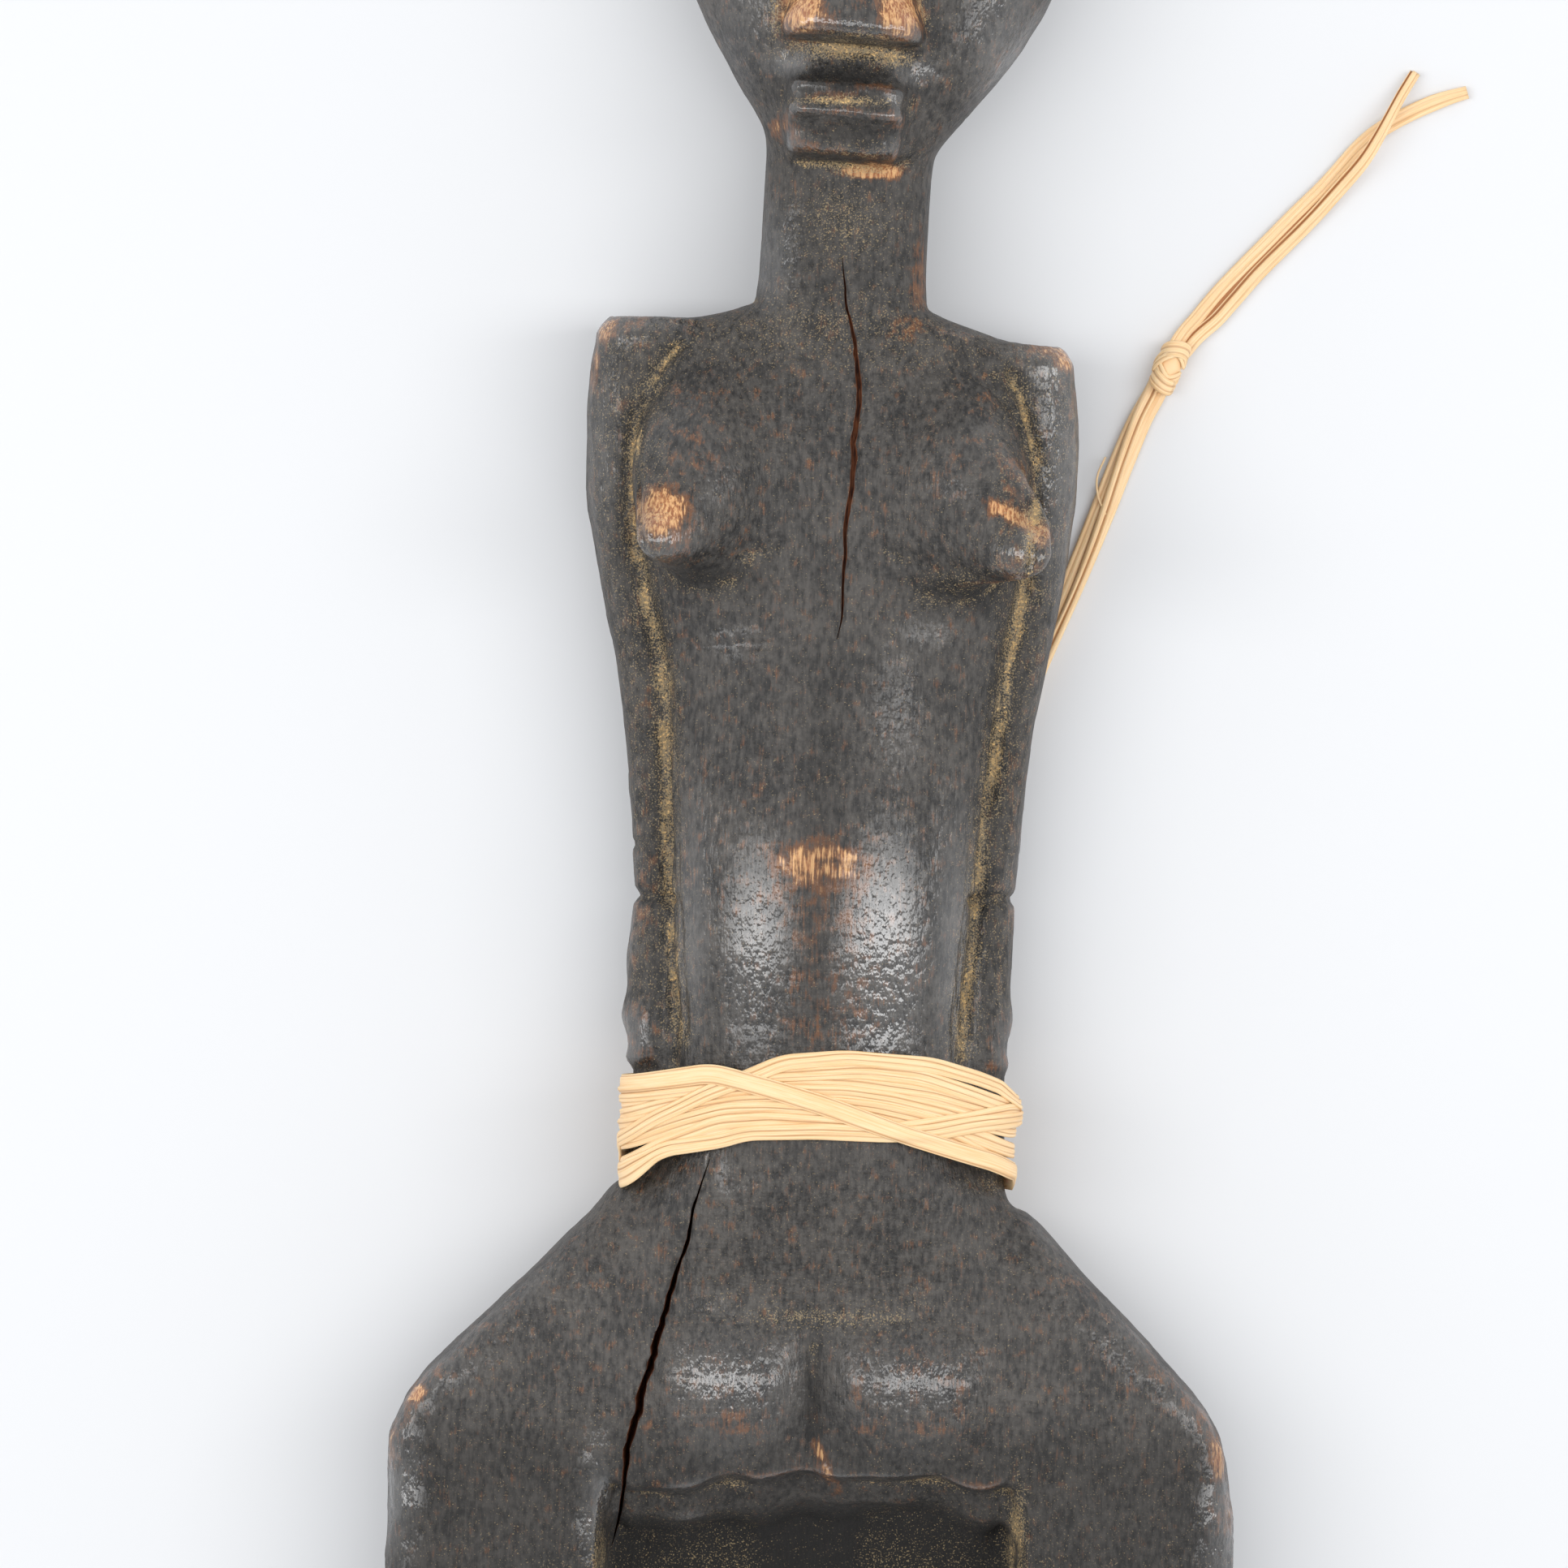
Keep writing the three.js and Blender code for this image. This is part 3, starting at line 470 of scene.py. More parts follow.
class DollStage(bpy.types.Operator):
    """Camera straight above the figure, a white floor and two tall softboxes"""
    bl_idname = "doll.stage"
    bl_label = "Stage"

    def execute(self, context):
        stage = context.scene.doll_stage
        lens = bpy.data.cameras.new("camera")
        lens.sensor_width = 36
        lens.lens = lens.sensor_width * stage.camera_height / stage.view_width
        camera = bpy.data.objects.new("camera", lens)
        camera.location = (CAMERA_X * MM, CAMERA_Y * MM, FIGURE_MID_Z * MM + stage.camera_height)
        camera.rotation_euler = (0, 0, math.radians(CAMERA_ROLL))
        context.scene.collection.objects.link(camera)
        context.scene.camera = camera

        bm = bmesh.new()
        bmesh.ops.create_grid(bm, x_segments=1, y_segments=1, size=FLOOR_REACH)
        bmesh.ops.translate(bm, verts=bm.verts, vec=(0, 0, FLOOR_Z * MM))
        floor = finish_mesh(bm, "floor")
        floor.data.materials.append(plain("white_paper", "#dbdcde", 0.9, stage.floor_glow))

        for side in (-1, 1):
            softbox = bpy.data.lights.new("softbox", "AREA")
            softbox.shape = "RECTANGLE"
            softbox.size, softbox.size_y = SOFTBOX_SIZE
            softbox.energy = stage.softbox_power
            lamp = bpy.data.objects.new("softbox", softbox)
            lamp.location = (side * SOFTBOX_PLACE[0], *SOFTBOX_PLACE[1:])
            aim = Vector(SOFTBOX_AIM) - lamp.location
            lamp.rotation_euler = aim.to_track_quat("-Z", "Y").to_euler()
            context.scene.collection.objects.link(lamp)

        # The room is brighter at the walls than above the camera.
        world = bpy.data.worlds.new("studio")
        world.use_nodes = True
        world.node_tree.nodes.clear()
        add = node_adder(world.node_tree)
        way = add("TexCoord", out="Generated")
        height = add("SeparateXYZ", {}, {"Vector": way}, out="Z")
        strength = add("MapRange", {}, {0: height, 1: 0.0, 2: 0.9, 3: stage.horizon, 4: stage.zenith})
        light = add("Background", {}, {"Color": (0.965, 0.98, 1.0, 1), "Strength": strength})
        add("OutputWorld", {}, {"Surface": light})
        context.scene.world = world
        context.scene.view_settings.view_transform = "Standard"
        return {"FINISHED"}


# ---------------------------------------------------------------- tail

# Routes along the floor, the frame's own, with their ends drawn on into the knot.
TAIL_ROUTE = [
    (4.6, 1.6, 3.2), (6, 4.8, 2.6), (8, 9.6, 2.2), (10.8, 16, 2.1), (13.8, 22.8, 2.1), (17, 30, 2.1),
    (20.2, 37.4, 2.1), (23.4, 44.8, 2.1), (26.6, 52.2, 2.1), (29.8, 59.8, 2.1), (33.1, 67.5, 2.1),
    (36, 74.6, 2.1), (38.6, 81.2, 2.1), (41.2, 88, 2.1), (43.8, 95, 2.1), (46.2, 100.9, 2.1),
    (48.2, 104.7, 2.1), (49.2, 106.8, 2.2),
]
UNDER_END_ROUTE = [
    (50.8, 111.2, 2.4), (52.4, 114.6, 2), (54.4, 117.4, 1.7), (57.2, 120.9, 1.6), (60.6, 124.6, 1.6),
    (64.6, 128.8, 1.6), (68.4, 132.8, 1.6), (71.6, 136, 1.6), (74.8, 139.3, 1.6), (78, 142.5, 1.6),
    (81.2, 145.1, 1.6), (84.6, 147.2, 1.6), (88, 148.9, 1.6), (91.2, 150.2, 1.6), (94.4, 151.2, 1.6),
]
OVER_END_ROUTE = [
    (52.0, 110.6, 2.4), (54.4, 113, 2), (57.6, 115.6, 1.7), (60.4, 118.8, 1.6), (63.6, 122.6, 1.6),
    (67, 126.2, 1.6), (70.4, 129.7, 1.7), (73.6, 133.2, 2.1), (76.4, 136.8, 3), (78.8, 140.2, 4.1),
    (80.8, 143.6, 4.7), (82.6, 147, 4.2), (84.4, 150.4, 3), (86.6, 154.1, 1.8),
]
LOOSE_FIBRE = [(41.4, 86.8, 1.6), (40.2, 89.4, 1.8), (40.0, 92.4, 1.7), (41.2, 95.4, 1.4)]
TAIL_WIDTH = 3.6
TAIL_STEP = 0.8


def ribbon(bm, route, strand, width, thick, creases, aside=None, rise=None, roll=None):
    """Adds a folded strip along a route and returns the route in metres. width, creases, aside, rise and roll
    are functions of the share of the way from 0 to 1: how wide the strip is, where it is creased, how far it
    lies beside the route and above it, and how far it is rolled, in radians."""
    line = [Vector((p[0], p[1] + WAIST_Y, p[2])) for p in smooth_line(route, TAIL_STEP)]
    stations = []
    for i, middle in enumerate(line):
        share = i / (len(line) - 1)
        ahead = (line[min(i + 1, len(line) - 1)] - line[max(i - 1, 0)]).normalized()
        sideways = ahead.cross(Vector((0, 0, 1))).normalized()
        up = sideways.cross(ahead)
        turned = roll(share) if roll else 0.0
        side_turned = sideways * math.cos(turned) + up * math.sin(turned)
        up_turned = up * math.cos(turned) - sideways * math.sin(turned)
        place = middle + sideways * (aside(share) if aside else 0.0) + up * (rise(share) if rise else 0.0)
        stations.append((place, side_turned, up_turned, width(share) / 2, thick, creases(share), None))
    sweep(bm, stations, strand)
    return [p * MM for p in line]


class DollTail(bpy.types.Operator):
    """The raffia tail: two strips that lie together, then part past the knot and cross"""
    bl_idname = "doll.tail"
    bl_label = "Tail"

    def execute(self, context):
        thick = context.scene.doll_raffia.thickness / MM

        def wander(share, size, seed):
            """Smooth noise from -1 to 1 along the way, with `size` waves in all."""
            return noise.noise((share * size, seed, 0.5))

        bm = bmesh.new()
        line = ribbon(
            bm, TAIL_ROUTE, 1.0,
            width=lambda s: TAIL_WIDTH * (0.7 + 0.3 * float(ease(s, 0, 0.05))) + 0.4 * wander(s, 9, 2),
            thick=1.5 * thick,
            creases=lambda s: [(0.5 * wander(s, 5, 3), 0.3, 0.12), (-0.6, 0.25, 0.1)],
            rise=lambda s: -1.5)
        ribbon(
            bm, TAIL_ROUTE, 4.0,
            width=lambda s: 2.0 + 0.5 * wander(s, 8, 5),
            thick=1.9 * thick,
            creases=lambda s: [(0.1 + 0.4 * wander(s, 6, 7), 0.4, 0.16)],
            aside=lambda s: 0.8 * math.sin(8.5 * s - 4.2),
            rise=lambda s: -1.0,
            roll=lambda s: 0.35 * math.sin(8.5 * s - 2.4))
        # A loose fibre that has sprung away from the tail.
        ribbon(
            bm, LOOSE_FIBRE, 6.0,
            width=lambda s: 0.32, thick=0.2, creases=lambda s: [])
        tail = own(finish_mesh(bm, "tail_strips"), strip_material(), "raffia_strip", "raffia_tail")

        # The two ends lie side by side up to the place where they cross.
        bm = bmesh.new()
        line = ribbon(
            bm, UNDER_END_ROUTE, 7.0,
            width=lambda s: 2.2 + 0.3 * float(ease(s, 0.6, 0.8)) - 0.5 * float(ease(s, 0.9, 1)),
            thick=1.3 * thick,
            creases=lambda s: [(0.3 + 0.2 * wander(s, 5, 8), 0.22, 0.12),
                               (-0.4 + 0.3 * wander(s, 5, 9), 0.16, 0.1)],
            aside=lambda s: 0.6 * float(ease(s, 0, 0.12)) * (1 - float(ease(s, 0.55, 0.75))),
            rise=lambda s: -1.2)
        under = own(finish_mesh(bm, "tail_end_under"), strip_material(), "raffia_strip", "raffia_end_under")

        bm = bmesh.new()
        line = ribbon(
            bm, OVER_END_ROUTE, 9.0,
            width=lambda s: 2.3 - 0.6 * float(ease(s, 0.6, 0.9)),
            thick=1.7 * thick,
            creases=lambda s: [(-0.66 + 0.1 * wander(s, 6, 11), 0.6, 0.16), (0.4, 0.2, 0.1)],
            aside=lambda s: -0.6 * float(ease(s, 0, 0.12)) * (1 - float(ease(s, 0.55, 0.75))),
            rise=lambda s: -1.2)
        # The leaf is folded over between the two ends. A narrow strip lies there, coloured all over with the
        # painted fold shade, so that it shows as a dark line.
        between = [((a[0] + b[0]) / 2, (a[1] + b[1]) / 2, 0.75)
                   for a, b in zip(UNDER_END_ROUTE[1:8], OVER_END_ROUTE[1:8])]
        ribbon(
            bm, between, 11.0,
            width=lambda s: 1.7 * (1 - 0.4 * float(ease(s, 0.7, 1))), thick=0.5 * thick,
            creases=lambda s: [(0.0, 0.7, 3.0)])
        over = own(finish_mesh(bm, "tail_end_over"), strip_material(), "raffia_strip", "raffia_end_over")
        return {"FINISHED"}


# ---------------------------------------------------------------- knots

# How each winding of a knot is creased: (place across, depth, reach).
TAIL_KNOT_CREASES = [(0.25, 0.3, 0.14), (-0.45, 0.25, 0.12)]
BACK_KNOT_CREASES = [(0.2, 0.25, 0.14), (-0.5, 0.2, 0.12)]
# The tail knot's place, its turn in degrees, and the radii and height of its middle.
TAIL_KNOT_AT = (50.4, 109, 0)
TAIL_KNOT_TURN = -22
TAIL_KNOT_CORE = (1.8, 3.9, 1.6)
TAIL_KNOT_HEIGHT = 2.4
# Its windings: (shift along, core radii, tilt, lean, width, thickness, strand, first angle, last angle).
TAIL_KNOT_WINDINGS = [
    (2.0, (1.7, 3.6, 1.7), 1.0, 0.6, 2.6, 0.5, 2.0, 0, 6.5),
    (-1.9, (1.6, 3.6, 1.6), -1.1, 0.4, 2.5, 0.5, 3.0, 0.4, 6.9),
    (0, (1.9, 3.4, 1.9), 2.6, 0.3, 2.1, 0.5, 5.0, 0.1, 3.2),
    (0.4, (1.85, 3.4, 1.85), -2.4, 0.2, 1.8, 0.4, 8.0, 0.2, 3.0),
]
BACK_KNOT_CORE = (3.9, 3.4, 1.9)
BACK_KNOT_HEIGHT = 3.4
BACK_KNOT_WINDINGS = [
    (-1.6, (4.1, 4.2, 1.9), 0.8, 0.2, 2.7, 0.45, 2.0, 0, 6.6),
    (1.5, (4.1 - 0.3, 4.2, 1.9), -0.9, 1.1, 2.7, 0.45, 3.0, 0, 6.6),
    (0.0, (4.1 - 0.6, 4.2, 1.9), 1.6, 2.0, 2.7, 0.45, 4.0, 0, 6.6),
]


def wrap(bm, centre, radii, tilt, lean, width, thick, strand, start, stop, creases):
    """Adds a strip wound round an egg-shaped core. radii are the core's (sideways, along, up). The winding is
    tilted across it, starts that tilt at the angle lean, and runs from the angle start to stop."""
    steps = max(12, round(abs(stop - start) * 9))
    stations = []
    for i in range(steps + 1):
        angle = start + (stop - start) * (i / steps)
        level = tilt * math.sin(angle + lean)
        ring = math.sqrt(max(0.05, 1 - (level / radii[1]) ** 2))
        out = Vector((math.cos(angle), 0, math.sin(angle)))
        spot = Vector((radii[0] * out.x * ring, level, radii[2] * out.z * ring))
        facing = Vector((out.x / radii[0], level / radii[1] ** 2 * 0.7, out.z / radii[2])).normalized()
        climb = tilt * math.cos(angle + lean) / radii[0]
        ahead = Vector((-math.sin(angle), climb, math.cos(angle))).normalized()
        side = ahead.cross(facing).normalized()
        stations.append((centre + spot, side, facing, width / 2, thick, creases, None))
    sweep(bm, stations, strand)


def wound_knot(core, height, windings, creases):
    """A knot at the origin: a solid middle with strips wound round it."""
    bm = bmesh.new()
    centre = Vector((0, 0, height))
    middle = bmesh.ops.create_uvsphere(bm, u_segments=24, v_segments=14, radius=1)["verts"]
    bmesh.ops.scale(bm, verts=middle, vec=[radius * MM for radius in core])
    bmesh.ops.translate(bm, verts=middle, vec=centre * MM)
    for shift, *winding in windings:
        wrap(bm, centre + Vector((0, shift, 0)), *winding, creases)
    return bm


class DollTailKnot(bpy.types.Operator):
    """The overhand knot on the tail"""
    bl_idname = "doll.tail_knot"
    bl_label = "Tail knot"

    def execute(self, context):
        bm = wound_knot(TAIL_KNOT_CORE, TAIL_KNOT_HEIGHT, TAIL_KNOT_WINDINGS, TAIL_KNOT_CREASES)
        turn = Matrix.Rotation(math.radians(TAIL_KNOT_TURN), 3, "Z")
        bmesh.ops.rotate(bm, verts=bm.verts, cent=(0, 0, 0), matrix=turn)
        bmesh.ops.translate(bm, verts=bm.verts, vec=in_frame(TAIL_KNOT_AT))
        own(finish_mesh(bm, "raffia_knot_on_tail"), knot_material(), "raffia_knot", "raffia_tail_knot")
        return {"FINISHED"}


class DollBackKnot(bpy.types.Operator):
    """The tie knot behind the waist"""
    bl_idname = "doll.back_knot"
    bl_label = "Tie knot"

    def execute(self, context):
        bm = wound_knot(BACK_KNOT_CORE, BACK_KNOT_HEIGHT, BACK_KNOT_WINDINGS, BACK_KNOT_CREASES)
        bmesh.ops.translate(bm, verts=bm.verts, vec=in_frame((*BACK_KNOT, 0)))
        own(finish_mesh(bm, "raffia_tie_knot"), knot_material(), "raffia_knot", "raffia_back_knot")
        return {"FINISHED"}


# ---------------------------------------------------------------- carving

# Heights along the figure where its stretches start or stop, the height of the binding's middle, and how far
# from the figure's middle the arms and the thighs start. Each stretch fades over a few millimetres.
HEAD_FROM = 137
ARMS_TO = 8
BINDING_Y = -3.5
TRUNK_TO = -40
HOLLOW_FROM = -56
ARM_X = 21
THIGH_X = 26

# Drying cracks from end to end: (x, y, half width).
CHEST_CRACK = [
    (1.0, 122.6, 0.05), (1.5, 118.5, 0.12), (1.7, 115.8, 0.16), (2.5, 112.8, 0.2), (3.3, 108.3, 0.32),
    (3.8, 101.6, 0.38), (3.2, 95.6, 0.42), (3.2, 91.6, 0.4), (2.8, 87.5, 0.34), (2.2, 83, 0.3),
    (2.3, 79.4, 0.26), (2.0, 75.4, 0.2), (2.0, 70.3, 0.14), (1.3, 66.8, 0.04),
]
HIP_CRACK = [
    (-15.8, -9.5, 0.04), (-17.2, -14, 0.14), (-18.1, -17.2, 0.22), (-18.9, -22.1, 0.28), (-19.7, -24.2, 0.26),
    (-20.7, -27.8, 0.4), (-21.8, -31.8, 0.44), (-23, -35.9, 0.5), (-23.7, -39.2, 0.52), (-24.9, -43.2, 0.58),
    (-25.6, -47.3, 0.6), (-26.8, -51, 0.5), (-27.2, -54.6, 0.42), (-27.6, -59.1, 0.26), (-28.3, -63.6, 0.18),
    (-29.2, -67.3, 0.05),
]
# The blade that cuts a crack: its step along the line, its least half width, and how far it stands out.
BLADE_STEP = 1.1
THINNEST_BLADE = 0.03
BLADE_ABOVE = 6
# Each crack's line, its depth, its floor's width as a share of its own, and the seed of its jagged edge.
CRACKS = [(CHEST_CRACK, 1.6, 0.6, 3), (HIP_CRACK, 12, 0.25, 5)]
# The grooves between the trunk and the arms, from the shoulder down: (x, y, half width).
LEFT_GROOVE = [
    (-22.4, 109.8, 0.8), (-25.9, 105, 1.1), (-28.7, 97.8, 1.3), (-29.1, 87, 1.3), (-28.6, 79.8, 1.3),
    (-26.4, 70.2, 1.3), (-24.1, 61.8, 1.3), (-23.4, 41.4, 1.2), (-22.6, 29.4, 1.2), (-20.6, 6.6, 1.1),
]
RIGHT_GROOVE = [
    (25.7, 106.8, 0.8), (28.2, 100.2, 1.1), (30.2, 93, 1.3), (28.9, 75, 1.3), (27.1, 65.4, 1.3),
    (25.7, 55.8, 1.3), (24.7, 46.2, 1.2), (22.9, 36.6, 1.2), (22.5, 27, 1.2), (20.5, 5.4, 1.1),
]
# Cuts of the knife: from one place to another (x, y), half width, depth.
CUTS = [
    ((-30, 28.9), (-22.8, 28.2), 0.8, 1.5), ((30, 29.2), (22.4, 28.8), 0.8, 1.3),
    ((-30, 35.8), (-26.5, 36.6), 0.7, 0.9), ((-24, 65.2), (-8, 65.8), 0.8, 0.4),
    ((-22, 76.2), (-7, 79.6), 1.3, 0.5), ((24, 75), (8, 79.6), 1.3, 0.5),
    ((-29.4, -14), (-29.4, -31), 0.9, 0.4), ((-7, -32.4), (12, -32.6), 1.6, 0.4),
]

SHALLOW_CUT = 0.6
# Where the breasts slope up from the chest.
BREAST_SLOPES = [(-18.5, 94, 9, 10, 1), (19.5, 92.5, 9.5, 10, 1)]

# Worn places: (x, y, radius across, radius along, strength). They count on the front only.
WORN = [
    (-5.6, 157.8, 3.6, 4.6, 0.85), (8.8, 157.2, 3.8, 4.2, 0.85), (1.8, 161.4, 8.0, 2.4, 0.7),  # nose
    (5.3, 135.4, 4.8, 1.2, 1.1),  # chip under the chin
    (-8.0, 141.5, 2.2, 1.6, 0.5), (-1.2, 145.3, 3.5, 1.0, 0.4), (8.0, 142.0, 2.0, 1.0, 0.4),
    (-24.6, 84.4, 4.6, 4.2, 0.85),  # left breast
    (30.4, 81.6, 1.6, 1.6, 0.7), (27.5, 90.0, 2.6, 5.0, 0.34),  # right breast
    (-0.6, 34.0, 8.4, 4.2, 0.66), (-1.0, 27.5, 10.0, 7.0, 0.26), (0.5, 15.0, 8.0, 12.0, 0.2),  # belly
    (-33.6, 112.5, 2.4, 3.2, 0.62), (-35.5, 106.5, 1.6, 4.0, 0.6),  # left shoulder
    (34.6, 109.4, 2.4, 3.0, 0.75), (32.0, 110.5, 4.0, 1.8, 0.5), (36.4, 104, 1.4, 5.0, 0.5),  # right shoulder
    (-58.4, -44.6, 1.8, 1.5, 1.0), (-62.2, -52.0, 1.5, 5.0, 0.55),  # left hip
    (59.6, -52.0, 1.6, 4.0, 0.75), (61.6, -60.0, 1.6, 4.0, 0.5),  # right hip
    (12.5, 120.0, 1.6, 6.0, 0.4), (11.0, 112.5, 3.0, 2.0, 0.35),  # neck
]
WORN_EDGES = [((23.6, 86.4), (31.4, 82.4), 1.2, 0.95), ((0.6, -51), (3.4, -58), 0.8, 0.75)]
# Dusty hollows, in the same way.
DUSTY = [
    (1.0, 152.4, 8.6, 1.7, 0.62), (7.4, 151.4, 3.4, 1.7, 0.6), (0.6, 144.6, 7.0, 0.6, 0.75),
    (2.0, 137.2, 9.0, 1.6, 0.2), (1.5, 128.0, 7.0, 6.0, 0.26), (-9.4, 158.0, 1.2, 5.0, 0.42),
    (1.0, -32.4, 11.0, 1.6, 0.3), (0.0, 113.0, 22.0, 3.0, 0.2), (19.0, 75.5, 4.0, 2.0, 0.25),
    (-26.0, -9.0, 5.0, 1.5, 0.3), (26.0, -12.5, 4.0, 1.5, 0.25), (30.2, -65.0, 1.4, 8.0, 0.62),
    (-30.8, -68.0, 1.2, 5.0, 0.5), (0.0, -72.0, 28.0, 9.0, 0.22), (0.0, 112.0, 34.0, 6.0, 0.17),
]
# Places darkened as painted shade, in the same way: under the breasts, nose, lips and chin, in the groove
# between the pads, and faintly on the neck, the left arm and down the middle of the belly.
PAINTED_SHADE_SPOTS = [
    (-18.5, 75.6, 8.0, 2.6, 0.75), (20.5, 74.2, 8.5, 2.8, 0.75), (0.0, -46.0, 2.2, 8.0, 0.7),
    (0.8, 148.2, 9.0, 1.7, 0.75), (1.0, 136.6, 9.0, 0.9, 0.7), (0.4, 146.4, 9.0, 1.6, 0.6),
    (1.0, 140.4, 9.0, 2.2, 0.5), (1.0, 154.6, 9.0, 0.8, 0.7), (-4.0, 124.0, 10.0, 12.0, 0.25),
    (-34.0, 70.0, 5.0, 40.0, 0.25), (0.0, 34.0, 3.0, 34.0, 0.3),
]
# Polished places.
POLISHED = [
    (-9.5, 21.0, 5.5, 16.0, 0.75), (9.0, 19.0, 6.5, 17.0, 1.1), (-19.0, 24.0, 3.5, 22.0, 0.6),
    (19.0, 22.0, 4.0, 22.0, 0.7), (10.0, 56.0, 5.0, 12.0, 0.3), (-14.0, 66.0, 6.0, 3.0, 0.35),
    (14.0, 68.0, 6.0, 3.0, 0.3), (-13.0, -43.0, 10.0, 11.0, 0.75), (14.0, -43.0, 10.0, 11.0, 0.6),
    (-61.0, -58.0, 4.0, 12.0, 0.9), (61.0, -62.0, 4.0, 14.0, 0.9), (-31.0, -60.0, 3.0, 10.0, 0.9),
    (-7.0, 150.5, 5.0, 2.0, 0.8), (11.0, 149.5, 4.0, 2.0, 0.7), (-9.0, 122.0, 4.0, 10.0, 0.6),
    (-34.0, 95.0, 3.0, 24.0, 0.5), (34.0, 95.0, 4.0, 24.0, 0.7), (2.0, 158.6, 10.0, 5.0, 0.5),
    (-25.0, 82.0, 4.0, 4.0, 0.6), (29.0, 80.5, 4.0, 4.0, 0.7), (33.0, 107.0, 4.0, 4.0, 0.8),
    (-15.0, 157.0, 6.0, 14.0, 0.45), (25.0, 153.0, 7.0, 14.0, 0.75), (1.0, 142.5, 8.0, 0.8, 0.35),
]


# What stands for the distance from a crack, in its half widths, past the crack's ends.
FAR_FROM_CRACK = 99.0


def places_of(mesh):
    """The vertices in millimetres, measured as the figure's sizes are, and their normals."""
    count = len(mesh.vertices)
    points = np.empty(count * 3)
    mesh.vertices.foreach_get("co", points)
    normals = np.empty(count * 3)
    mesh.vertex_normals.foreach_get("vector", normals)
    return points.reshape(-1, 3) / MM - (0, WAIST_Y, 0), normals.reshape(-1, 3)


def set_places(mesh, points):
    mesh.vertices.foreach_set("co", ((points + (0, WAIST_Y, 0)) * MM).ravel())
    mesh.update()


def edges_of(mesh):
    edges = np.empty(len(mesh.edges) * 2, dtype=np.int64)
    mesh.edges.foreach_get("vertices", edges)
    return edges.reshape(-1, 2)


def relaxed(values, edges, rounds, share=0.6):
    """Each vertex's value, moved a share of the way to its neighbours' average, round after round."""
    values = values.copy()
    count = len(values)
    neighbours = np.maximum(np.bincount(edges.ravel(), minlength=count), 1)
    columns = values.reshape(count, -1)
    for _ in range(rounds):
        for k in range(columns.shape[1]):
            column = columns[:, k]
            total = np.bincount(edges[:, 0], column[edges[:, 1]], count)
            total += np.bincount(edges[:, 1], column[edges[:, 0]], count)
            columns[:, k] = (1 - share) * column + share * total / neighbours
    return values


def lumps(points, size, seed=0.0):
    """Smooth noise from about -1 to 1 with lumps of that size in millimetres across, along and up."""
    scaled = points / np.array(size) + seed
    return np.array([noise.noise(p) for p in scaled.tolist()])


def scallops(points, size, seed):
    """Shallow dishes side by side, as a blade leaves them: 0 in the middle of a dish, about 1 on a ridge."""
    bent = points / np.array(size) + seed
    return np.array([noise.voronoi(p, distance_metric="DISTANCE_SQUARED")[0][0] for p in bent.tolist()])


def spots(points, places, sharp=2.0):
    """How strongly each point lies in the listed places. A higher `sharp` gives them clearer outlines."""
    found = np.zeros(len(points))
    for x, y, across, along, strength in places:
        far = ((points[:, 0] - x) / across) ** 2 + ((points[:, 1] - y) / along) ** 2
        found = np.maximum(found, strength * np.exp(-far ** sharp))
    return found


def beside_line(points, line):
    """For each point: its distance across the figure from a line, the line's half width there, and how far
    the point lies past the line's nearer end, below 0 where it doesn't. A line starts at its head end."""
    x, y, _ = points.T
    xs, ys, halves = np.array(line[::-1]).T
    return np.abs(x - np.interp(y, ys, xs)), np.interp(y, ys, halves), np.maximum(ys[0] - y, y - ys[-1])


def from_groove(points, line):
    """How far each point lies from a groove. Past its ends this grows fast."""
    distance, _, past = beside_line(points, line)
    ends = 1 + np.maximum(0, past) * 2
    return distance * ends + (ends - 1)


def groove(points, line):
    """1 in the middle of a groove, 0 beside it."""
    half = beside_line(points, line)[1]
    return np.exp(-(from_groove(points, line) / half) ** 2)


def from_crack(points, line):
    """How far each point lies from a crack, as a multiple of the crack's half width there."""
    distance, half, past = beside_line(points, line)
    return np.where(past < 0, distance / half, FAR_FROM_CRACK)


def knife_cut(points, start, stop, half):
    """1 in the middle of a straight cut, 0 beside it."""
    a, b = np.array(start), np.array(stop)
    share = np.clip((points[:, :2] - a) @ (b - a) / ((b - a) @ (b - a)), 0, 1)[:, None]
    distance = np.linalg.norm(points[:, :2] - a - share * (b - a), axis=1)
    return np.exp(-(distance / half) ** 2)


def zones(points, normals):
    """Where the stretches of the figure lie, each as a share from 0 to 1."""
    x, y, z = points.T
    side = np.abs(x)
    front = ease(normals[:, 2], 0.1, 0.6)
    head = ease(y, HEAD_FROM, HEAD_FROM + 4)
    arm = ease(side, ARM_X, ARM_X + 5) * ease(y, ARMS_TO, ARMS_TO + 6) * (1 - head)
    return SimpleNamespace(
        front=front, head=head, arm=arm,
        trunk=front * (1 - arm) * (1 - head) * ease(y, TRUNK_TO - 10, TRUNK_TO),
        back=1 - ease(z, 8, 16),
        # The part that the binding covers.
        band=1 - ease(np.abs(y - BINDING_Y), 10.5, 14),
        thigh=ease(y, TRUNK_TO, TRUNK_TO - 12) * ease(side, THIGH_X, THIGH_X + 8),
        # The hollow between the thighs.
        recess=ease(y, HOLLOW_FROM, HOLLOW_FROM - 4) * (1 - ease(side, THIGH_X + 2, THIGH_X + 6))
        * (1 - ease(z, 22, 26)))


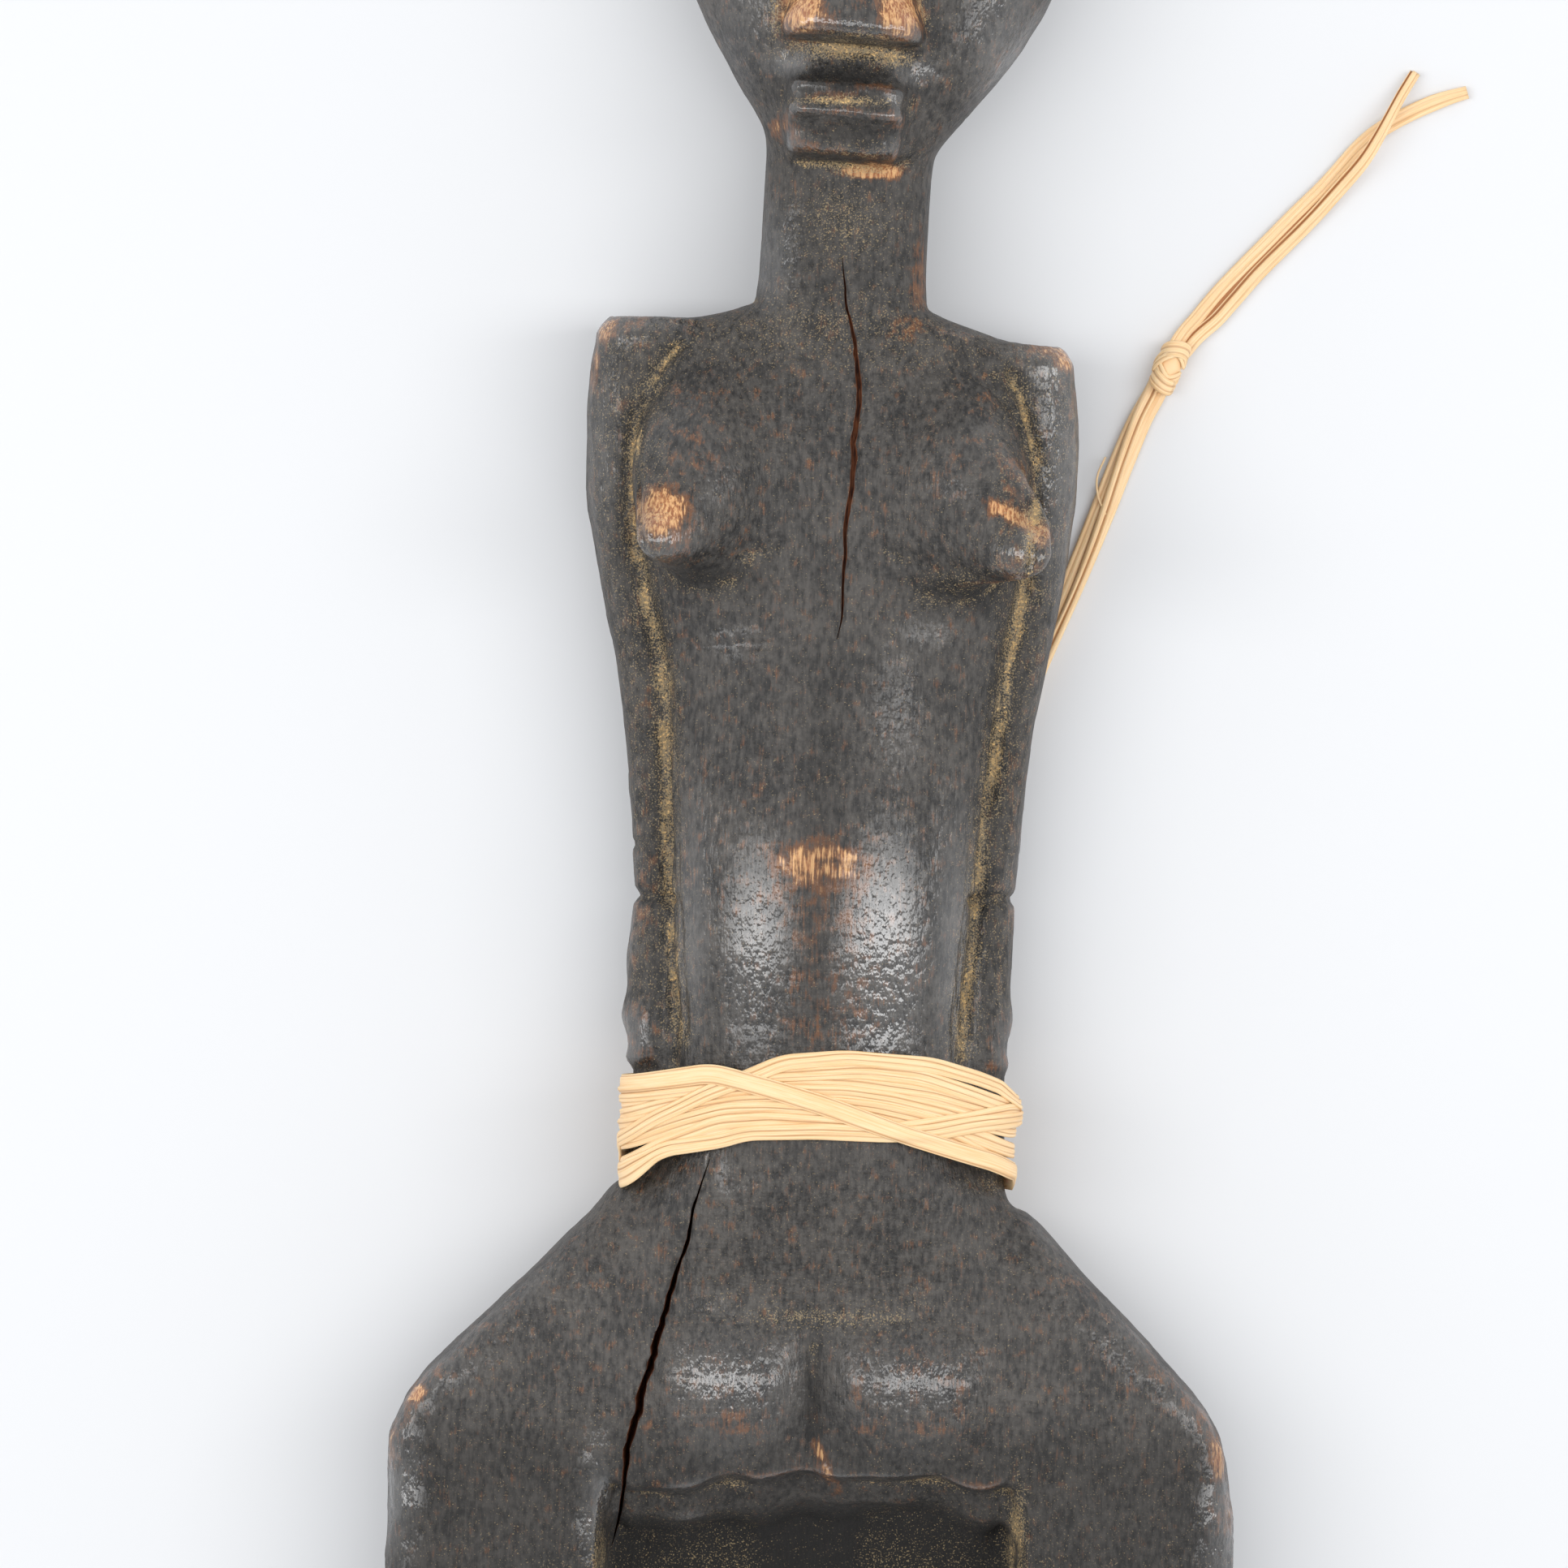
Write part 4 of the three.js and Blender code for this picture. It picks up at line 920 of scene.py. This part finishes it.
def softened(points, normals, edges):
    """The figure with the shallow corners between its flat sides rounded away. Real edges stay."""
    x, y, _ = points.T
    side = np.abs(x)
    wide = relaxed(points, edges, 45)
    broad = relaxed(wide, edges, 150)
    near = relaxed(points, edges, 6)
    offset = np.abs(((wide - points) * normals).sum(1))
    keep = relaxed(ease(offset, 0.16, 0.5), edges, 4)
    # The ends of the binding's seat are rounded away as well.
    seat_ends = (1 - ease(np.abs(y - 9), 2, 5)) + (1 - ease(np.abs(y + 15), 3, 5.5)) * ease(side, 24, 27)
    keep = (keep * (1 - np.clip(seat_ends, 0, 1)))[:, None]
    made = wide * (1 - keep) + near * keep
    # The hollow between the thighs is hacked out with soft edges.
    soft_edge = ease(y, HOLLOW_FROM + 1, HOLLOW_FROM - 2) * (1 - ease(side, 33, 37))
    soft_edge = soft_edge * ease(normals[:, 2], -0.4, 0)
    soft_edge = (soft_edge * (0.75 + 0.25 * lumps(points, (8, 8, 8), 6.0)))[:, None]
    made = made * (1 - soft_edge) + broad * soft_edge
    # The breasts rise gently out of the chest.
    front = ease(normals[:, 2], 0.1, 0.6)
    chest = front * ease(y, 77, 84) * (1 - ease(y, 108, 113)) * (1 - ease(side, 26, 30))
    fill = 1.5 * np.maximum(((broad - made) * normals).sum(1), 0) * chest
    fill += 1.6 * front * spots(points, BREAST_SLOPES, 1.0)
    return made + normals * fill[:, None]


def carve(points, normals, edges, deepest):
    """The figure's surface with a carver's marks."""
    x, y, z = points.T
    zone = zones(points, normals)
    depth = 0.16 + 0.9 * zone.thigh + 0.26 * zone.head + 0.34 * zone.arm + 0.35 * zone.back
    depth += 0.9 * zone.recess
    depth *= 1 - 0.6 * zone.trunk
    # The adze leaves large dishes, and the knife small ones.
    dishes = scallops(points, (6.5, 9.5, 6.5), 3.7)
    small = scallops(points, (2.6, 3.8, 2.6), 9.1)
    push = deepest / MM * depth * (dishes - 0.35) + 0.9 * zone.recess * lumps(points, (7, 6, 9), 3.0)
    knife = 0.3 + 2.2 * zone.thigh + 0.8 * zone.head * (1 - zone.front * 0.5) + 0.4 * zone.back + zone.recess
    push += 0.12 * (small - 0.3) * knife
    # The block waves gently, its fibres stand up a little, and small pits are torn out.
    push += 0.28 * lumps(points, (17, 24, 17), 2.0)
    push += 0.06 * lumps(points, (1.1, 9, 1.1), 5.0) * (0.5 + zone.arm + zone.back)
    pits = ease(lumps(points, (1.5, 2.2, 1.5), 8.0), 0.32, 0.6)
    push -= 0.2 * pits * (0.1 + 1.3 * zone.thigh + 0.5 * zone.head + 0.5 * zone.arm)
    uneven = 0.75 + 0.5 * lumps(points, (4, 6, 4), 4.0)
    push -= 1.7 * zone.front * uneven * (groove(points, LEFT_GROOVE) + groove(points, RIGHT_GROOVE))
    # A shallow cut marks the front only, and a deeper one runs down the side as well.
    for start, stop, half, cut in CUTS:
        reach = zone.front if cut < SHALLOW_CUT else ease(z, 3, 8)
        push -= cut * uneven * knife_cut(points, start, stop, half) * reach
    push = push * (1 - 0.85 * zone.band) + 0.22 * zone.band
    # Above the binding the sides swell out to the full width again.
    push += ease(y, 2.6, 5) * (1 - ease(y, 10, 16)) * (1.3 * ease(-x, 22, 26) + 0.7 * ease(x, 22, 26))
    made = softened(points, normals, edges) + normals * push[:, None]
    # The upper edge of the hollow between the thighs is wavy.
    near_edge = ease(y, -70, -63) * ease(y, -50, -55) * (1 - ease(np.abs(x), 26, 31)) * ease(z, 9, 12)
    made[:, 1] += 3.5 * near_edge * lumps(points, (9, 40, 40), 12.0)
    made[:, 2] = np.maximum(made[:, 2], 0)
    return made


def ring_edges(bm, ring):
    """The edges of a closed ring of vertices, made if they aren't there yet."""
    return [bm.edges.get((a, b)) or bm.edges.new((a, b)) for a, b in zip(ring, [*ring[1:], ring[0]])]


def crack_blade(line, surface, depth, floor, seed):
    """A thin jagged wedge that cuts a crack from its line down. surface holds the points of the wood's front,
    and floor is the crack's width at the bottom as a share of its width on top."""
    rough = random.Random(seed)
    bm = bmesh.new()
    rings = []
    for x, y, half in smooth_line(line, BLADE_STEP):
        half = max(half, THINNEST_BLADE)
        middle = x + rough.uniform(-0.22, 0.22) * half
        top = surface[np.argmin((surface[:, 0] - x) ** 2 + (surface[:, 1] - y) ** 2), 2]
        left, right = (half * rough.uniform(0.8, 1.25) for _ in range(2))
        corners = [(-left, BLADE_ABOVE), (right, BLADE_ABOVE), (right, 0), (right * floor, -depth),
                   (-left * floor, -depth), (-left, 0)]
        rings.append([bm.verts.new(in_frame((middle + across, y, top + up))) for across, up in corners])
    for a, b in zip(rings, rings[1:]):
        bmesh.ops.bridge_loops(bm, edges=ring_edges(bm, a) + ring_edges(bm, b))
    for end in (rings[0], rings[-1]):
        bmesh.ops.edgeloop_fill(bm, edges=ring_edges(bm, end))
    blade = finish_mesh(bm, "crack_blade")
    blade.data.materials.append(material_of("torn_heartwood", split_wood))
    return blade


SAME_PLACE = 0.002


class DollCarving(bpy.types.Operator):
    """The figure, cut from one block of dark-stained wood, with its blade marks, drying cracks and wear"""
    bl_idname = "doll.carving"
    bl_label = "Carving"

    def execute(self, context):
        look = context.scene.doll_wood
        bm = bmesh.new()
        bm.from_mesh(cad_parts["carved_figure"].data)
        bmesh.ops.remove_doubles(bm, verts=bm.verts, dist=SAME_PLACE * MM)
        carving = finish_mesh(bm, "carved_wood")
        even = carving.modifiers.new("even", "REMESH")
        even.mode = "VOXEL"
        even.voxel_size = look.voxel * 1.0
        apply_modifiers(carving)

        points, normals = places_of(carving.data)
        set_places(carving.data, carve(points, normals, edges_of(carving.data), look.scallop))

        triangles = 2 * len(carving.data.polygons)
        if triangles > look.triangles:
            thin = carving.modifiers.new("thin", "DECIMATE")
            thin.ratio = look.triangles / triangles
            apply_modifiers(carving)
        own(carving, material_of("blackened_hardwood", stained_wood, look), "stained_wood", "carved_figure")
        self.split(carving)
        self.weather(carving.data)
        return {"FINISHED"}

    def split(self, carving):
        """Cuts the drying cracks."""
        points, normals = places_of(carving.data)
        surface = points[normals[:, 2] > 0.4]
        blades = []
        for line, depth, floor, seed in CRACKS:
            blade = crack_blade(line, surface, depth, floor, seed)
            blades.append(blade)
            cut = carving.modifiers.new("crack", "BOOLEAN")
            cut.object = blade
            cut.operation = "DIFFERENCE"
            cut.solver = "EXACT"
            cut.material_mode = "TRANSFER"
        apply_modifiers(carving)
        for blade in blades:
            bpy.data.objects.remove(blade)
        carving.data.shade_smooth()

    def weather(self, mesh):
        """Stores where the wood is worn, dusty and polished, and where its colour is darkened as painted
        shade.
        """
        points, normals = places_of(mesh)
        edges = edges_of(mesh)
        x, y, z = points.T
        # `hollow` is above 0 in a narrow hollow and below 0 on an edge. `deep` is above 0 in a wide hollow
        # and below 0 on a swelling.
        hollow = relaxed(((relaxed(points, edges, 14) - points) * normals).sum(1), edges, 2)
        deep = relaxed(((relaxed(points, edges, 70) - points) * normals).sum(1), edges, 3)
        facing = ease(normals[:, 2], -0.2, 0.4)
        uneven = lumps(points, (7, 10, 7), 1.0)
        crumbly = 0.5 + 0.5 * lumps(points, (1.6, 3.2, 1.6), 7.0)
        by_crack = np.minimum(from_crack(points, CHEST_CRACK), from_crack(points, HIP_CRACK))
        grooves = np.maximum(groove(points, LEFT_GROOVE), groove(points, RIGHT_GROOVE)) * facing
        beside = np.minimum(from_groove(points, LEFT_GROOVE), from_groove(points, RIGHT_GROOVE))
        beside = 1 - ease(beside, 1, 5)
        arm = ease(np.abs(x), ARM_X, ARM_X + 4) * ease(y, ARMS_TO, ARMS_TO + 6) * ease(-y, -116, -112)
        recess = ease(y, -52, -64) * (1 - ease(np.abs(x), 28, 32)) * (1 - ease(z, 16, 26))

        edge = ease(-hollow, 0.1, 0.34) * (0.55 + 0.5 * uneven) * ease(by_crack, 8, 16)
        worn = np.maximum(spots(points, WORN) * facing, 0.5 * edge * (0.5 + 0.5 * ease(uneven, -0.1, 0.4)))
        for start, stop, half, strength in WORN_EDGES:
            worn = np.maximum(worn, strength * knife_cut(points, start, stop, half) * facing)

        pit = (ease(hollow, 0.05, 0.3) * 0.3 + ease(deep, 0.3, 1.6) * 0.16) * (1 - recess)
        dust = np.maximum(pit, spots(points, DUSTY, 1.0) * facing) + 0.07 * facing
        dust = np.maximum(dust, grooves * (0.3 + 0.5 * ease(crumbly, 0.3, 0.75)))
        dust = np.maximum(dust, np.maximum(0.3 * beside, 0.2 * arm) * (0.6 + 0.8 * crumbly) * facing)
        dust *= 1 - 0.8 * ease(y, -36, -40) * (1 - ease(np.abs(x), 6, 9))

        # Painted shade: the wide hollows, the recess between the thighs and the listed places are darkened,
        # and more faintly the thighs and the arms beside their grooves. The dusty middle of each groove is
        # left lighter.
        soot = np.maximum(0.85 * ease(deep, 0.5, 2.2), 0.95 * recess * facing)
        soot = np.maximum(soot, spots(points, PAINTED_SHADE_SPOTS, 1.0) * facing)
        soot = np.maximum(soot, np.maximum(0.42 * ease(y, -44, -54), 0.5 * beside * arm) * facing)
        soot = soot * (1 - 0.5 * grooves)

        swelling = 0.6 * ease(-deep, 0.3, 1.4) * ease(by_crack, 12, 26)
        shine = np.maximum(spots(points, POLISHED, 1.0) * facing, swelling)
        shine = shine * (1 - ease(deep, 0.2, 0.9)) * (0.4 + 0.6 * ease(by_crack, 3, 9))

        for name, values in {"worn": worn, "dust": dust, "shine": shine, "soot": soot}.items():
            layer = mesh.attributes.new(name, "FLOAT", "POINT")
            layer.data.foreach_set("value", np.clip(values, 0, 1.5).astype(np.float32))
        mesh.update()


# ---------------------------------------------------------------- binding

# The passes of the binding, from the lowest to the top one: the CAD turn that each stands for, its width, and
# its run across the front from left to right as (x, y). Behind the waist they gather under the tie knot.
PASSES = [
    (1, 2.7, [(-30, -2), (-23, -0.4), (-16.4, 1.2), (-2.9, 2.3), (6.1, 1.85), (17.4, 0.5), (24.2, -1.5),
              (30, -2.9)]),
    (2, 2.3, [(-30.4, -4.25), (-23.2, -1.8), (-14.2, 0), (-7.4, 0.7), (3.9, 0.9), (10.7, 0), (19.7, -2),
              (28.7, -4.7)]),
    (3, 2.4, [(-30.4, -5.6), (-21, -2.9), (-12, -1.1), (-2.9, -0.6), (8.4, -1.5), (15.2, -2.9),
              (24.2, -5.6), (29.6, -7.9)]),
    (4, 2.4, [(-30, -0.7), (-15, 1.7), (-7, 3.3), (6.1, 4.1), (15.2, 3.2), (22, 1.1), (28.7, -1.3)]),
    (5, 2.5, [(-31, -8), (-27.7, -7), (-21, -4.25), (-14.2, -2.2), (-7.4, -1.8), (-0.2, -2.2), (6.1, -3.3),
              (19.7, -5.6), (26.5, -9.2), (29.6, -11)]),
    (6, 2.7, [(-30, -11.4), (-26.8, -9.6), (-23, -7.4), (-15, -4.3), (-7.4, -3.6), (3.9, -4), (10.7, -4.7),
              (15.2, -4.25), (23.3, -2.9), (28.7, -1.8), (30, -2.9)]),
    (7, 2.4, [(-29, -12.4), (-26.4, -10.4), (-23.2, -8.1), (-14.2, -6.5), (-11, -5.4), (-0.2, -4.9),
              (10.7, -5.2), (16.5, -4.9), (23.3, -3.6), (30, -2.9)]),
    (8, 2.3, [(-30.6, -9.7), (-29.5, -7.4), (-24.6, -3.8), (-21, -2), (-16.4, 0.5), (-12.8, 1.85),
              (-9.2, 3.4), (-5.6, 5), (3.9, 5.9), (17, 5), (24.2, 3), (28, 1.4), (28.7, -0.6)]),
    (9, 2.9, [(-30, 0.9), (-16.4, 3.2), (-12.8, 2.5), (-6.5, 0.9), (0.7, -1.1), (6.1, -2.9), (12.9, -5.2),
              (19.7, -7.2), (26.5, -9.2), (32, -12.4)]),
]
# Places round the waist, the gap under the lowest pass, and the rows along the figure in which the height of
# the pile of strips is kept.
WAIST_STEPS = 380
GAP = 0.32
ROW = 0.2
LOWEST_ROW = -22.0
HIGHEST_ROW = 12.0
# How much of a strip's thickness it adds to the pile, and the passes that differ from the others.
SETTLED = 0.8
SPREAD_PASS = 7
TOP_PASS = 9
# Where the points of a strip's section lie across it.
ACROSS = np.array([across for across, _ in SECTION])


def waist_ring():
    """Evenly spaced places round the waist, from its back over the left side, front and right side to its
    back: their x, z, outward x and outward z."""
    fine = np.linspace(1.5 * math.pi, -0.5 * math.pi, 2001)
    power = 2 / WAIST_SQUARENESS
    x = WAIST_HALF_WIDTH * np.sign(np.cos(fine)) * np.abs(np.cos(fine)) ** power
    z = WAIST_HALF_DEPTH * np.sign(np.sin(fine)) * np.abs(np.sin(fine)) ** power
    far = np.concatenate([[0], np.cumsum(np.hypot(np.diff(x), np.diff(z)))])
    wanted = np.linspace(0, far[-1], WAIST_STEPS)
    x, z = np.interp(wanted, far, x), np.interp(wanted, far, z)
    bend = WAIST_SQUARENESS - 1
    out_x = np.sign(x) * (np.abs(x) / WAIST_HALF_WIDTH) ** bend / WAIST_HALF_WIDTH
    out_z = np.sign(z) * (np.abs(z) / WAIST_HALF_DEPTH) ** bend / WAIST_HALF_DEPTH
    length = np.hypot(out_x, out_z)
    return x, z, out_x / length, out_z / length


def blurred(values, reach):
    """A moving average along the first axis, over `reach` places on each side."""
    total = np.zeros_like(values)
    for shift in range(-reach, reach + 1):
        index = np.clip(np.arange(len(values)) + shift, 0, len(values) - 1)
        total += values[index]
    return total / (2 * reach + 1)


class DollBinding(bpy.types.Operator):
    """Nine passes of folded raffia strip round the waist, each lying on those below it"""
    bl_idname = "doll.binding"
    bl_label = "Binding"

    def execute(self, context):
        thick = context.scene.doll_raffia.thickness / MM
        ring = waist_ring()
        rows = np.arange(LOWEST_ROW, HIGHEST_ROW, ROW)
        pile = np.full((WAIST_STEPS, len(rows)), GAP)
        for number, width, run in PASSES:
            level = self.levels(number, run, ring)
            lifts = self.lifts(width, level, pile, rows)
            bm = bmesh.new()
            sweep(bm, self.stations(number, width, thick, level, lifts, ring), number * 1.7)
            own(finish_mesh(bm, f"raffia_pass_{number}"), strip_material(), "raffia_strip",
                f"raffia_turn_{number}")
            for i in range(WAIST_STEPS):
                under = np.abs(rows - level[i]) <= width / 2 * 0.92
                places = level[i] + ACROSS[:TOP_POINTS] * width / 2
                top = np.interp(rows[under], places, lifts[i, :TOP_POINTS])
                pile[i, under] = np.maximum(pile[i, under], top + thick * SETTLED)
        return {"FINISHED"}

    def levels(self, number, run, ring):
        """How far along the figure the pass lies at each place round the waist."""
        x, z, _, _ = ring
        level = np.interp(x * 1.04, [p[0] for p in run], [p[1] for p in run])
        # Behind the waist each pass heads for the knot.
        knot_level = BACK_KNOT[1] + 0.5 * (number - 5)
        for i in np.flatnonzero(z <= 0):
            end = run[0][1] if i < WAIST_STEPS // 2 else run[-1][1]
            gather = float(ease(abs(x[i]), WAIST_HALF_WIDTH * 0.98, 6))
            level[i] = end + (knot_level - end) * gather
        return blurred(level, 5)

    def lifts(self, width, level, pile, rows):
        """How high each point of the pass lies on the pile below it. The strip is stiff across, so it bridges
        part of the dips."""
        soft_pile = blurred(blurred(pile, 5), 3)
        peak = np.zeros(WAIST_STEPS)
        under = np.zeros((WAIST_STEPS, len(SECTION)))
        for i in range(WAIST_STEPS):
            peak[i] = soft_pile[i, np.abs(rows - level[i]) <= width / 2].max()
            under[i] = np.interp(level[i] + ACROSS * width / 2, rows, soft_pile[i])
        return 0.45 * blurred(peak, 4)[:, None] + 0.55 * blurred(under, 3)

    def stations(self, number, width, thick, level, lifts, ring):
        """What sweep needs at each place round the waist."""
        x, z, out_x, out_z = ring
        made = []
        for i in range(WAIST_STEPS):
            a, b = max(i - 1, 0), min(i + 1, WAIST_STEPS - 1)
            middle = Vector((x[i], level[i] + WAIST_Y, z[i] + WAIST_MID_Z))
            ahead = Vector((x[b] - x[a], level[b] - level[a], z[b] - z[a])).normalized()
            out = Vector((out_x[i], 0, out_z[i]))
            # Sideways points to the head, so that a point's share across counts up the figure.
            side = out.cross(ahead).normalized()
            if side.y < 0:
                side.negate()
            turn = 0.35 * noise.noise((i / 60, number * 3.1, 0))
            full = width * (1 + 0.14 * noise.noise((i / 45, number * 5.7, 2)))
            # One pass opens out flat on the left, and the top one is folded only near its edges.
            if number == SPREAD_PASS and z[i] > 0:
                full += 1.6 * float(ease(-x[i], 23, 27.5))
            creases = [(0.34 + turn, 0.4, 0.075),
                       (-0.36 + turn * 0.7, 0.3 + 0.25 * noise.noise((i / 40, number, 4)), 0.07)]
            if number == TOP_PASS:
                creases = [(0.78, 0.3, 0.08), (-0.8 + 0.3 * turn, 0.34, 0.09)]
            made.append((middle, side, out, full / 2, thick, creases, lifts[i]))
        return made


# ---------------------------------------------------------------- panel and run

OPERATORS = (DollStage, DollTailKnot, DollTail, DollBackKnot, DollCarving, DollBinding)
SETTINGS = {"doll_wood": DollWoodSettings, "doll_raffia": DollRaffiaSettings, "doll_stage": DollStageSettings}


class DollPanel(bpy.types.Panel):
    """Lists what the doll is made of, with its settings"""
    bl_idname = "DOLL_PT_parts"
    bl_label = "Carved doll"
    bl_space_type = "VIEW_3D"
    bl_region_type = "UI"
    bl_category = "Doll"

    def draw(self, context):
        for operator in OPERATORS:
            self.layout.operator(operator.bl_idname)
        for name, group in SETTINGS.items():
            box = self.layout.box()
            for setting in group.__annotations__:
                box.prop(getattr(context.scene, name), setting)


def register():
    for kind in (*SETTINGS.values(), *OPERATORS, DollPanel):
        bpy.utils.register_class(kind)
    for name, group in SETTINGS.items():
        setattr(bpy.types.Scene, name, PointerProperty(type=group))


def unregister():
    for name in SETTINGS:
        delattr(bpy.types.Scene, name)
    for kind in reversed((*SETTINGS.values(), *OPERATORS, DollPanel)):
        bpy.utils.unregister_class(kind)


def main():
    register()
    bpy.ops.doll.stage()
    bpy.ops.doll.tail_knot()
    bpy.ops.doll.tail()
    bpy.ops.doll.back_knot()
    bpy.ops.doll.carving()
    bpy.ops.doll.binding()


if __name__ == "__main__":
    main()
